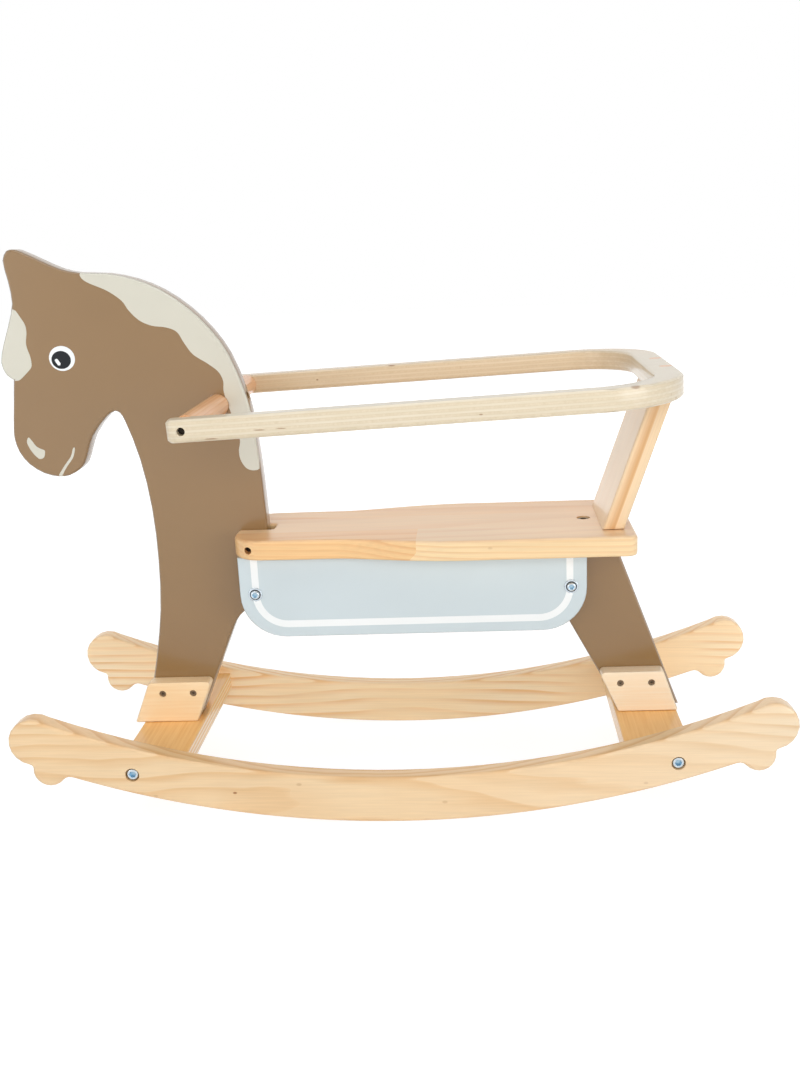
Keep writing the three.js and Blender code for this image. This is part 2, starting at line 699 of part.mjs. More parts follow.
// Half width of the seat along its length: share of the length, and how much narrower it is there
const seatStations = [
  [0.08, 18.2], [0.18, 17.4], [0.27, 17.2], [0.32, 14.5], [0.385, 9.3], [0.45, 4.6], [0.52, 1.2],
  [0.58, 0], [0.66, 0.5], [0.78, 0.3], [0.93, 0.7],
];

function seatOutline() {
  const side = smooth(seatStations.map(([share, narrower]) => (
    point(seatFront + share * seatLength, seatWidth / 2 - narrower))), 3);
  const frontHalf = side[0].y;
  const rearHalf = side.at(-1).y;
  const slotEnd = neckBack + slotEndGap;
  const rightSide = side.map((p) => [p.x, p.y, 0]);
  const half = [
    [slotEnd, slotHalf, slotEndRadius],
    [seatFront, slotHalf, slotMouthRadius],
    [seatFront, frontHalf, seatFrontRadius],
    ...rightSide,
    [seatRear, rearHalf, seatRearRadius],
  ];
  const mirrored = half.map(([x, y, radius]) => [x, -y, radius]).reverse();
  return roundedPolygon([...half, ...mirrored]);
}

// Point on the middle plane of the backrest, from its foot along its lean
const alongBack = (distance, y) => at(backFoot.x + distance * Math.sin(backLean), y,
  seatTop + distance * Math.cos(backLean));
const underSeat = -seatThick / Math.cos(backLean);
const backScrewYs = { left: -backScrewSpacing / 2, right: backScrewSpacing / 2 };
const seatSideHalf = seatWidth / 2 - seatStations[0][1];
const seatScrewY = seatSideHalf - seatScrewRecess;
const toSeat = (p) => p.clone().setZ(p.z - seatTop);

const seatCuts = [
  holeUp(capBore, seatBoltX, 0, -capDepth, seatThick, roundSides),
  holeUp(boltRadius + fitGap, seatBoltX, 0, -2 * seatThick, seatThick),
  ...Object.values(sideY).flatMap((side) => [
    holeAcross(screwRadius + fitGap, seatScrewX, -seatThick / 2, 0, side * seatWidth, screwSides),
    holeAcross(smallHeadRadius + fitGap, seatScrewX, -seatThick / 2,
      side * (seatScrewY - screwHeadHeight - fitGap), side * seatWidth),
  ]),
  ...Object.values(backScrewYs).flatMap((y) => {
    const below = toSeat(alongBack(2 * underSeat, y));
    const headEnd = underSeat + backScrewRecess + screwHeadHeight + fitGap;
    return [
      rod(screwRadius + fitGap, below, toSeat(alongBack(seatThick, y)), screwSides),
      rod(screwHeadRadius + fitGap, below, toSeat(alongBack(headEnd, y))),
    ];
  }),
];

const seat = add('seat', cutFrom(levelPlate(seatOutline(), seatThick, softEase), ...seatCuts), 'seatPine');
seat.position.z = seatTop;

for (const [sideName, side] of Object.entries(sideY)) {
  const screw = woodScrew(seatScrewY - boardThick / 2 + seatScrewPast, smallHeadRadius);
  const start = at(seatScrewX, side * seatScrewY, seatMid);
  drive(add(`seat_screw_${sideName}`, screw, 'zinc'), start, at(0, -side, 0));
}

const seatBolt = capBolt(boltRadius, seatBoltLength, headRadius, headHeight, socketAcross);
drive(add('seat_bolt', seatBolt, 'zinc'), at(seatBoltX, 0, seatTop - capDepth), at(0, 0, -1));
const seatNut = add('seat_nut', barrelNut(nutLength, seatNutY), 'zinc');
drive(seatNut, at(seatBoltX, seatNutY, seatNutZ), at(0, -1, 0));

// ---------------------------------------------------------------- backrest

function backrestOutline() {
  const halfThick = backThick / (2 * Math.cos(backLean));
  const slope = Math.tan(backLean);
  const rise = Math.tan(ringTilt);
  const topAt = (side) => {
    const x = (backTop.x + side * halfThick - backFoot.x - backHeight * slope) / (1 - slope * rise);
    return [backTop.x - backFoot.x + x, backHeight - fitGap + x * rise, 0];
  };
  return roundedPolygon([[-halfThick, fitGap, 0], [halfThick, fitGap, 0], topAt(1), topAt(-1)]);
}

const ringScrewLean = at(Math.sin(backLean + ringTilt), 0, Math.cos(backLean + ringTilt));
// Point on a ring screw's axis in the ring's frame, from the ring's underside upwards
const alongRingScrew = (distance, y) => (
  at(ringScrewLean.x * distance - ringScrewForward, y, ringScrewLean.z * distance));
const throughRing = ringThick / ringScrewLean.z;
const plugBottom = throughRing - plugLength - plugRadius * Math.tan(backLean + ringTilt);
const ringHeadTop = plugBottom - fitGap;

const backScrewHold = backScrewLength + underSeat + backScrewRecess + fitGap;
const ringScrewHold = ringScrewLength - ringHeadTop + fitGap;
const toBackrest = (p) => at(p.x - backFoot.x, p.y, p.z - seatTop);
ringFrame.updateMatrixWorld(true);
const ringToWorld = (p) => p.clone().applyMatrix4(ringFrame.matrixWorld);

const backCuts = Object.values(backScrewYs).flatMap((y) => {
  const ends = [
    [alongBack(-seatThick, y), alongBack(backScrewHold, y)],
    [ringToWorld(alongRingScrew(ringThick, y)), ringToWorld(alongRingScrew(-ringScrewHold, y))],
  ];
  return ends.map(([from, to]) => rod(screwRadius + fitGap, toBackrest(from), toBackrest(to), screwSides));
});

const backrest = add('backrest',
  cutFrom(uprightPlate(backrestOutline(), backWidth, softEase), ...backCuts), 'pine');
backrest.position.set(backFoot.x, 0, seatTop);

for (const [sideName, y] of Object.entries(backScrewYs)) {
  const screw = add(`backrest_screw_${sideName}`, woodScrew(backScrewLength, screwHeadRadius), 'zinc');
  drive(screw, alongBack(underSeat + backScrewRecess, y), at(Math.sin(backLean), 0, Math.cos(backLean)));
}

// ---------------------------------------------------------------- guard ring

function ringOutline() {
  const outer = ringWidth / 2;
  const inner = ringInnerHalf;
  const rear = ringOverhang;
  const rearInner = ringOverhang - ringRearWidth;
  return roundedPolygon([
    [ringFront, outer, ringEndRadius],
    [rear, outer, ringOuterRadius],
    [rear, -outer, ringOuterRadius],
    [ringFront, -outer, ringEndRadius],
    [ringFront, -inner, ringEndRadius],
    [rearInner, -inner, ringInnerRadius],
    [rearInner, inner, ringInnerRadius],
    [ringFront, inner, ringEndRadius],
  ]);
}

const handlebarHeadY = ringWidth / 2 - handlebarScrewRecess;

const ringCuts = [
  ...Object.values(sideY).flatMap((side) => [
    holeAcross(screwRadius + fitGap, handlebarU, handlebarW, 0, side * ringWidth, screwSides),
    holeAcross(smallHeadRadius + fitGap, handlebarU, handlebarW,
      side * (handlebarHeadY - screwHeadHeight - fitGap), side * ringWidth),
  ]),
  ...Object.values(backScrewYs).flatMap((y) => [
    rod(screwRadius + fitGap, alongRingScrew(-ringThick, y), alongRingScrew(2 * throughRing, y), screwSides),
    rod(plugRadius + fitGap, alongRingScrew(ringHeadTop - screwHeadHeight - fitGap, y),
      alongRingScrew(2 * throughRing, y), roundSides),
  ]),
];

const ringPlate = plate(ringOutline(), ringThick, boardEase);
add('guard_ring', cutFrom(ringPlate, ...ringCuts), 'ply', ringFrame);

for (const [sideName, y] of Object.entries(backScrewYs)) {
  const screw = add(`ring_screw_${sideName}`, woodScrew(ringScrewLength, screwHeadRadius), 'zinc', ringFrame);
  drive(screw, alongRingScrew(ringHeadTop, y), ringScrewLean.clone().negate());
  const above = closed(new THREE.BoxGeometry(8 * plugRadius, 8 * plugRadius, ringThick));
  above.translate(alongRingScrew(throughRing, y).x, y, 1.5 * ringThick);
  const stockTop = alongRingScrew(throughRing + plugLength, y);
  const stock = rod(plugRadius, alongRingScrew(plugBottom, y), stockTop, roundSides);
  add(`ring_plug_${sideName}`, cutFrom(stock, above), 'dowel', ringFrame);
}

// ---------------------------------------------------------------- handlebar

const handlebarHalf = ringInnerHalf - fitGap;
const screwInBar = handlebarScrewLength + ringInnerHalf - handlebarHeadY + fitGap;

function handlebar() {
  const bar = holeAcross(handlebarRadius, 0, 0, -handlebarHalf, handlebarHalf, roundSides);
  const lockOut = at(Math.cos(lockScrewPitch - ringTilt), 0, Math.sin(lockScrewPitch - ringTilt));
  const holeEnd = handlebarHalf - screwInBar;
  const cuts = Object.values(sideY).map((side) => (
    holeAcross(screwRadius + fitGap, 0, 0, side * 2 * handlebarHalf, side * holeEnd, screwSides)));
  cuts.push(rod(screwRadius + fitGap, at(0, 0, 0), lockOut.multiplyScalar(2 * handlebarRadius), screwSides));
  return cutFrom(bar, ...cuts);
}

const bar = add('handlebar', handlebar(), 'dowel', ringFrame);
bar.position.set(handlebarU, 0, handlebarW);

for (const [sideName, side] of Object.entries(sideY)) {
  const body = woodScrew(handlebarScrewLength, smallHeadRadius);
  const screw = add(`handlebar_screw_${sideName}`, body, 'zinc', ringFrame);
  drive(screw, at(handlebarU, side * handlebarHeadY, handlebarW), at(0, -side, 0));
}

// ---------------------------------------------------------------- saddle panels

function saddlePanel(side) {
  const top = -fitGap;
  const outlinePoints = roundedPolygon([
    [0, top, 0],
    [0, -panelHeight, panelRadius],
    [panelLength, -panelHeight, panelRadius],
    [panelLength, top, 0],
  ]);
  const radius = side < 0 ? boltRadius : sleeveRadius;
  const cuts = Object.values(panelBoltX).map((x) => (
    holeAcross(radius + fitGap, x - panelFront, -panelBoltDrop, -panelThick, panelThick)));
  return cutFrom(uprightPlate(outlinePoints, panelThick, fineEase), ...cuts);
}

function spacer(side) {
  const bore = (side < 0 ? boltRadius : sleeveRadius) + fitGap;
  const body = holeAcross(spacerRadius, 0, 0, -spacerLength / 2, spacerLength / 2);
  return cutFrom(body, holeAcross(bore, 0, 0, -spacerLength, spacerLength));
}

function saddleBolt() {
  const length = 2 * panelOuter - sleeveLength + saddleBoltPast;
  const body = turned([[0, -flangeThick - domeHeight], [domeRadius, -flangeThick - domeHeight],
    [domeRadius, -flangeThick], [flangeRadius, -flangeThick], [flangeRadius, 0],
    [boltRadius, 0], [boltRadius, length], [0, length]], boltSides);
  return cutFrom(body, hexSocket(saddleSocketAcross, -flangeThick - domeHeight, domeHeight));
}

function saddleNut() {
  const bore = boltRadius + fitGap;
  const depth = saddleBoltPast + boreSpare;
  return turned([[0, -flangeThick], [flangeRadius, -flangeThick], [flangeRadius, 0], [sleeveRadius, 0],
    [sleeveRadius, sleeveLength], [bore, sleeveLength], [bore, sleeveLength - depth],
    [0, sleeveLength - depth]], boltSides);
}

for (const [sideName, side] of Object.entries(sideY)) {
  const panel = add(`saddle_panel_${sideName}`, saddlePanel(side), 'bluePaint');
  panel.position.set(panelFront, side * (panelOuter - panelThick / 2), seatUnder);
  for (const [end, x] of Object.entries(panelBoltX)) {
    const mesh = add(`saddle_spacer_${end}_${sideName}`, spacer(side), 'pine');
    mesh.position.set(x, side * (boardThick / 2 + spacerLength / 2), panelBoltZ);
  }
}

for (const [end, x] of Object.entries(panelBoltX)) {
  drive(add(`saddle_bolt_${end}`, saddleBolt(), 'zinc'), at(x, -panelOuter, panelBoltZ), at(0, 1, 0));
  drive(add(`saddle_nut_${end}`, saddleNut(), 'zinc'), at(x, panelOuter, panelBoltZ), at(0, -1, 0));
}

// The origin is at the middle of the floor outline, so the horse moves back by half of what
// its forelock reaches beyond the rockers.
const noseReach = Math.min(...outline.map((p) => p.x));
horse.position.x = -(noseReach + rockerLength / 2) / 2;

export default horse;
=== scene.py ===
# %% [markdown]
# # A child's rocking horse in grain, paint and zinc
#
# The real horse is a painted board on two pine rockers. It has a pine seat and backrest, a plywood
# guard ring, a round handlebar and painted saddle panels, and zinc-plated screws and bolts hold it
# together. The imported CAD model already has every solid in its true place, so this lesson keeps those
# solids and gives them grain, paint, lacquer and zinc. All work is in metres: +Z is up, the nose
# points to -X and the horse's own left side faces -Y.

import math

import bmesh
import bpy
from mathutils import Matrix, Vector, geometry


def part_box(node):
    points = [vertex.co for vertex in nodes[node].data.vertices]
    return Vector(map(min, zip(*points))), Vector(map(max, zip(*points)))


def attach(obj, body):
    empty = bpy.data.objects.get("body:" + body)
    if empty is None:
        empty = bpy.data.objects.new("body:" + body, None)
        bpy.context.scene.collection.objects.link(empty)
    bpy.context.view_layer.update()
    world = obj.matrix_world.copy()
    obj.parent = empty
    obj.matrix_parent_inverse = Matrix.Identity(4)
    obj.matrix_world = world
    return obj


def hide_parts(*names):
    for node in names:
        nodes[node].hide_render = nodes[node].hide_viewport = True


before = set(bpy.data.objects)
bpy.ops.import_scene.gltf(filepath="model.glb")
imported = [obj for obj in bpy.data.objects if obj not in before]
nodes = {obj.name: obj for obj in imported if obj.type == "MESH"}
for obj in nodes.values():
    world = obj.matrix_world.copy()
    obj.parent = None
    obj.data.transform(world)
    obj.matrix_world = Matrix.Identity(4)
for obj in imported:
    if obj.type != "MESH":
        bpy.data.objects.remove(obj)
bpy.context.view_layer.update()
# One millimetre, in the scene's metres.
MM = 0.001

# %% [markdown]
# ## Camera
#
# The horse is seen from its left side, from about the height of its ear, and the camera looks down
# by fifteen degrees. It also leans by two degrees, as a hand-held one does, and its view is shifted
# a little sideways, because the horse didn't stand in the middle of the lens. Three axes at right
# angles say all of that at once, and the third is worked out from the other two.

# %% Camera
def new_object(name, data):
    """A new object in the scene."""
    made = bpy.data.objects.new(name, data)
    bpy.context.scene.collection.objects.link(made)
    return made


camera_data = bpy.data.cameras.new("studio_camera")
camera_data.sensor_width = 36
camera_data.lens = 38.455
camera_data.shift_x = -0.044
camera = new_object("studio_camera", camera_data)
to_right = Vector((0.99913, 0.02276, -0.03489)).normalized()
to_top = Vector((0.02765, 0.26412, 0.96409)).normalized()
to_back = to_right.cross(to_top)
turned = Matrix((to_right, to_top, to_back)).transposed().to_4x4()
camera.matrix_world = Matrix.Translation((0.0782, -1.0133, 0.5053)) @ turned
bpy.context.scene.camera = camera
bpy.context.scene.view_settings.view_transform = "Standard"
print("camera looks along", [round(v, 3) for v in -to_back])

# %% [markdown]
# ## Nodes and colours
#
# Every material here is a small network of nodes. One function adds any node, sets its options, and
# fills each socket with a value or with a wire from another node. Colours are written as the hex
# codes that a paint chart would give, and one function turns them into the linear light that the
# renderer adds up.

# %% Colours
def linear(code):
    """The linear colour of an sRGB hex code, with full alpha."""
    shares = [int(code[place : place + 2], 16) / 255 for place in (1, 3, 5)]
    light = [s / 12.92 if s <= 0.04045 else ((s + 0.055) / 1.055) ** 2.4 for s in shares]
    return (*light, 1.0)


print("#C8C8C8 in linear light:", [round(v, 3) for v in linear("#C8C8C8")[:3]])

# %% Nodes
def add_node(tree, kind, sockets=(), stops=(), **options):
    """One new node with its options. sockets go by name, or in order to those in use. Each is a plain
    value, an output, or a node, which stands for its first output in use. A MapRange node takes a
    value, the two ends that it comes from and the two that it goes to. stops are the places and
    colours of a colour ramp."""
    made = tree.nodes.new("ShaderNode" + kind)
    for name, value in options.items():
        setattr(made, name, value)
    if not isinstance(sockets, dict):
        in_use = [number for number, socket in enumerate(made.inputs) if socket.enabled]
        sockets = dict(zip(in_use, sockets))
    for key, value in sockets.items():
        if isinstance(value, bpy.types.Node):
            value = next(socket for socket in value.outputs if socket.enabled)
        if isinstance(value, bpy.types.NodeSocket):
            tree.links.new(value, made.inputs[key])
        else:
            made.inputs[key].default_value = value
    for number, (place, colour) in enumerate(stops):
        # A new ramp has two stops already, and further ones are added.
        if number < 2:
            stop = made.color_ramp.elements[number]
            stop.position = place
        else:
            stop = made.color_ramp.elements.new(place)
        stop.color = linear(colour)
    return made


def new_material(name):
    """An empty material, its node tree, and the output that gives each point's place."""
    material = bpy.data.materials.new(name)
    material.use_nodes = True
    tree = material.node_tree
    tree.nodes.clear()
    return material, tree, add_node(tree, "TexCoord").outputs["Object"]


def shader(tree, tint, cloud, smooth, rough, finish, relief=None):
    """A material's shader: its colour, a roughness that follows a cloud from smooth to rough, the
    plain sockets of its finish, and a relief with its height, strength and depth."""
    roughness = add_node(tree, "MapRange", [cloud, 0.0, 1.0, smooth, rough])
    sockets = {"Base Color": tint, "Roughness": roughness, **finish}
    if relief:
        height, strength, depth = relief
        bumps = {"Height": height, "Strength": strength, "Distance": depth}
        sockets["Normal"] = add_node(tree, "Bump", bumps)
    add_node(tree, "OutputMaterial", [add_node(tree, "BsdfPrincipled", sockets)])


def finish_nodes(material, *names):
    """Gives CAD nodes their material, in every slot that they have."""
    for name in names:
        mesh = nodes[name].data
        for slot in range(len(mesh.materials)):
            mesh.materials[slot] = material


# %% [markdown]
# ## Studio: floor, sky and lamps
#
# The horse stands in a white studio. A low sky lights it from everywhere, and five softboxes do the
# rest: one at each side in front, one straight in front that reaches under the seat to the far
# rocker, one above, and one behind that keeps the back from going dull. Camera and mirror rays see a
# pure white sky, while the light that falls on the horse stays lower, so that every colour comes out
# about as it is written. The floor does the same: it shows as white, and it still darkens softly
# where the horse stands in the way of the light. The front and rear lamps stay out of mirrors,
# because their images would lie as white bars on the lacquer.

# %% Sky
def looked_at(tree):
    """1 for rays that the camera or a mirror sends, and 0 for light that falls on things."""
    path = add_node(tree, "LightPath").outputs
    either = add_node(tree, "Math", [path["Is Camera Ray"], path["Is Glossy Ray"]], operation="MAXIMUM")
    return add_node(tree, "Math", [either, path["Is Transmission Ray"]], operation="MAXIMUM")


SKY_LIGHT = 0.30
world = bpy.data.worlds.new("white_studio")
bpy.context.scene.world = world
world.use_nodes = True
sky = world.node_tree
sky.nodes.clear()
seen = looked_at(sky)
lights = add_node(sky, "Background", [linear("#FFFFFF"), SKY_LIGHT])
shows = add_node(sky, "Background", [linear("#FFFFFF"), 1.0])
both = add_node(sky, "MixShader", [seen, lights, shows])
add_node(sky, "OutputWorld", [both])
print("sky lights with", SKY_LIGHT, "and shows as 1.0")

# %% Floor
# The floor's own glow is a little weaker round the horse, in metres from the middle, so that the
# lamps and the shadow still show there.
GLOW_RISES_FROM, GLOW_RISES_TO = 0.5, 1.8
GLOW_AT_HORSE = 0.86
FLOOR_REACH = 6
floor_material, tree, place = new_material("pale_floor")
seen = looked_at(tree)
bounce = add_node(tree, "BsdfDiffuse", [linear("#F7F7F7")])
shadowed = add_node(tree, "BsdfDiffuse", [linear("#9C9C9C")])
from_middle = add_node(tree, "VectorMath", [place], operation="LENGTH")
whiter = add_node(tree, "MapRange", [from_middle, GLOW_RISES_FROM, GLOW_RISES_TO, GLOW_AT_HORSE, 1.0])
glow = add_node(tree, "Emission", [linear("#FFFFFF"), whiter])
shown = add_node(tree, "AddShader", [shadowed, glow])
both = add_node(tree, "MixShader", [seen, bounce, shown])
add_node(tree, "OutputMaterial", [both])
floor_mesh = bpy.data.meshes.new("studio_floor")
corners = [(x * FLOOR_REACH, y * FLOOR_REACH, 0) for x, y in ((-1, -1), (1, -1), (1, 1), (-1, 1))]
floor_mesh.from_pydata(corners, [], [(0, 1, 2, 3)])
floor_mesh.materials.append(floor_material)
floor = new_object("studio_floor", floor_mesh)
print("floor corners:", corners)

# %% Lamps
HORSE_MIDDLE = Vector((0, 0, 0.22))


def softbox(name, place, power, width, height):
    """A flat area lamp that faces the middle of the horse."""
    lamp = bpy.data.lights.new(name, "AREA")
    lamp.shape = "RECTANGLE"
    lamp.size = width
    lamp.size_y = height
    lamp.energy = power
    made = new_object(name, lamp)
    made.location = place
    made.rotation_euler = (HORSE_MIDDLE - Vector(place)).to_track_quat("-Z", "Y").to_euler()
    return made


softbox("left_softbox", (-2.1, -2.0, 0.7), 13, 1.8, 1.2)
softbox("right_softbox", (2.3, -2.0, 0.7), 24, 1.8, 1.2)
softbox("top_softbox", (0.1, -0.6, 2.7), 20, 2.2, 1.4)
front_key = softbox("front_key", (0.1, -2.5, 1.1), 20, 2.0, 1.0)
rear_key = softbox("rear_key", (-0.2, 2.6, 1.0), 26, 2.4, 1.2)
for lamp in (front_key, rear_key):
    lamp.visible_glossy = False
print("lamps:", [light.name for light in bpy.data.lights])

# %% [markdown]
# ## Soft edges without new corners
#
# A CAD solid comes in as loose triangles, each with its own flat shading, so a rounded edge would
# look like a stack of facets. Three modifiers mend that without touching the CAD mesh: Weld joins the
# loose corners, Edge Split keeps the really sharp edges sharp, and Weighted Normal lets each large
# flat face decide the shading at its rim, so that flats stay flat and only the rounding between them
# turns. The painted pieces further down get their corner normals set one by one, in the same spirit.

# %% Shading of the solids
# Edges steeper than this stay crisp, in degrees, and corners closer than this are one corner.
SHARP = 50
SAME_CORNER = 0.002 * MM


def shade(piece):
    """Smooth shading over rounded edges, with sharp edges left crisp."""
    weld = piece.modifiers.new("weld", "WELD")
    weld.merge_threshold = SAME_CORNER
    split = piece.modifiers.new("crisp_edges", "EDGE_SPLIT")
    split.split_angle = math.radians(SHARP)
    split.use_edge_sharp = False
    normals = piece.modifiers.new("flat_faces", "WEIGHTED_NORMAL")
    normals.weight = 100
    for face in piece.data.polygons:
        face.use_smooth = True


for node in nodes.values():
    shade(node)
print("shaded", len(nodes), "solids")

# %% [markdown]
# ## Pine: grain that runs through the board
#
# A pine board is sawn from a trunk, and the lines on it are cuts through the trunk's year rings. So
# the pattern is a solid one: distance from the pith, the trunk's middle, decides how light or dark
# the wood is, and each board says where its pith lay and which way it grew. That gives long arches on
# a wide face, tight lines on a narrow edge and curves on end grain, all of which meet at the corners.
# The year rings of such pine are 3 to 8 mm apart. Real fibres are 0.03 mm thick and too fine to show,
# so they are drawn about 1 mm thick, which gives the same soft streaks.

# %% Streaks
def streaks(tree, at, per_metre, low, high):
    """Soft random streaks from 0 to 1. per_metre counts the blobs along each axis, and the cloud's
    values from low to high are stretched over the whole range, so a narrow span gives contrast."""
    packed = add_node(tree, "VectorMath", [at, per_metre], operation="MULTIPLY")
    cloud = add_node(tree, "TexNoise", {"Vector": packed, "Scale": 1.0, "Detail": 2.0, "Roughness": 0.55})
    return add_node(tree, "MapRange", [cloud, low, high])


# %% Drifts and spots
def graded_tint(tree, place, tint, drift):
    """The colour tint, multiplied by another colour that grows along one axis: drift is the axis, where
    that starts, where it is complete, and the colour that multiplies the tint there. It makes the near
    rocker paler to the rear, and it paints the seat's sheen and the guard ring's shade."""
    axis, start, end, colour = drift
    split = add_node(tree, "SeparateXYZ", [place])
    share = add_node(tree, "MapRange", [split.outputs[axis], start, end])
    return add_node(tree, "Mix", [share, tint, (*colour, 1.0)], data_type="RGBA", blend_type="MULTIPLY")


def spotted(tree, place, tint, spots, colour):
    """The colour tint with soft spots of another colour. A spot is its centre and its half sizes, in
    millimetres, and its strength."""
    # A spot keeps its full strength over this share of its half size.
    core = 0.4
    for centre, half, strength in spots:
        from_centre = add_node(tree, "VectorMath", [place, Vector(centre) * MM], operation="SUBTRACT")
        scaled = add_node(tree, "VectorMath", [from_centre, Vector(half) * MM], operation="DIVIDE")
        far = add_node(tree, "VectorMath", [scaled], operation="LENGTH")
        share = add_node(tree, "MapRange", [far, core, 1.0, strength, 0.0], interpolation_type="SMOOTHSTEP")
        tint = add_node(tree, "Mix", [share, tint, linear(colour)], data_type="RGBA")
    return tint


# %% Year rings
# A wave texture repeats every 0.314 of its unit, so this turns a ring's width into its scale.
WAVE_PERIOD = 2 * math.pi / 20


def year_rings(tree, trunk, year, sway):
    """Rings round the pith, rising from 0 to 1 over each year. Trunks aren't perfect cylinders, so
    the rings wander slowly along their length, by about the length sway."""
    slow = add_node(tree, "VectorMath", [trunk, (4, 15, 15)], operation="MULTIPLY")
    bends = {"Vector": slow, "Scale": 1.0, "Detail": 3.0, "Roughness": 0.45}
    bends = add_node(tree, "TexNoise", bends).outputs["Color"]
    grown = add_node(tree, "VectorMath", [bends, (0, sway, sway), trunk], operation="MULTIPLY_ADD")
    shape = {"wave_type": "RINGS", "rings_direction": "X", "wave_profile": "SAW"}
    return add_node(tree, "TexWave", [grown, WAVE_PERIOD / year], **shape).outputs["Fac"]


def ring_tint(tree, rings, colours):
    """Each year starts as early wood, darkens to late wood and stops almost at once."""
    early, between, late = colours
    stops = [(0.0, early), (1.0, between), (0.45, early), (0.86, late), (0.93, late)]
    return add_node(tree, "ValToRGB", [rings], stops)


def faded(tree, trunk, tint, between, fading, on_face):
    """The rings stand out in some places and nearly fade away in others."""
    faint = streaks(tree, trunk, (6, 14, 14), 0.36, 0.6)
    faint = add_node(tree, "Math", [faint, fading], operation="MULTIPLY")
    faint = add_node(tree, "Math", [faint, on_face], operation="MULTIPLY")
    return add_node(tree, "Mix", [faint, tint, linear(between)], data_type="RGBA")


# %% [markdown]
# ## Staves: a board glued up from several
#
# A wide pine board would cup, so wide boards are glued up from narrow staves, and short staves are
# joined end to end. Each stave comes from another tree. So each one gets a number, and the number
# shifts its rings to another part of the trunk and gives it its own warmth.

# %% Staves
seat_low, seat_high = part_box("seat")
# Each row's end joint lies this much further back than its neighbour's.
JOINT_STEP = 250 * MM
# At the seat's underside the joint leans forward by this much, and higher up it is straight.
JOINT_LEAN = 7 * MM
STRAIGHT_ABOVE = 7.9 * MM


def staves(tree, place, width, first_edge, joint):
    """A number for each glued stave: they lie side by side across Y, and each has an end joint."""
    split = add_node(tree, "SeparateXYZ", [place])
    across = add_node(tree, "Math", [split.outputs["Y"], first_edge], operation="SUBTRACT")
    across = add_node(tree, "Math", [across, width], operation="DIVIDE")
    row = add_node(tree, "Math", [across], operation="FLOOR")
    seam = add_node(tree, "Math", [row, JOINT_STEP, joint], operation="MULTIPLY_ADD")
    lean = [split.outputs["Z"], seat_low.z, seat_low.z + STRAIGHT_ABOVE, -JOINT_LEAN, 0.0]
    lean = add_node(tree, "MapRange", lean)
    seam = add_node(tree, "Math", [seam, lean], operation="ADD")
    behind = add_node(tree, "Math", [split.outputs["X"], seam], operation="GREATER_THAN")
    return add_node(tree, "Math", [row, 2.0, behind], operation="MULTIPLY_ADD")


def shifted_by_stave(tree, trunk, stave):
    """Each stave's own place in the trunk."""
    chance = add_node(tree, "TexWhiteNoise", [stave], noise_dimensions="1D").outputs["Color"]
    return add_node(tree, "VectorMath", [chance, (3.0, 0.03, 0.05), trunk], operation="MULTIPLY_ADD")


def warmed_by_stave(tree, tint, stave):
    """Staves come from different trees, so each has its own warmth."""
    tone = add_node(tree, "Math", [stave, 0.2, 0.95], operation="MULTIPLY_ADD")
    tone = add_node(tree, "Math", [tone], operation="FRACT")
    return add_node(tree, "Mix", [tone, tint, linear("#FCE9D2")], data_type="RGBA", blend_type="MULTIPLY")


# %% [markdown]
# ## Lacquered pine
#
# The pine is sanded and sprayed with a thin clear lacquer. Sanding leaves the hard late wood a little
# proud, and the lacquer lies over both, so the wood has a soft gloss with a faint relief. A narrow
# sawn edge cuts the rings straight across, so its lines never fade. The edges that look up or down
# are painted a shade darker and warmer, as painted shade.

# %% Pine material
LACQUER = {"IOR": 1.5, "Coat Weight": 0.5, "Coat Roughness": 0.12}
# Faces that look up or down are multiplied by this colour: painted shade.
EDGE_SHADE_TINT = (1.0, 0.91, 0.80, 1.0)


def fibre_value(tree, trunk, fibres):
    """How light the wood is: fine fibres under broad clouds, a few percent up and down."""
    clouds = streaks(tree, trunk, (5, 26, 26), 0.3, 0.7)
    fine = add_node(tree, "MapRange", [fibres, 0.0, 1.0, 0.955, 1.035])
    broad = add_node(tree, "MapRange", [clouds, 0.0, 1.0, 0.965, 1.03])
    return add_node(tree, "Math", [fine, broad], operation="MULTIPLY")


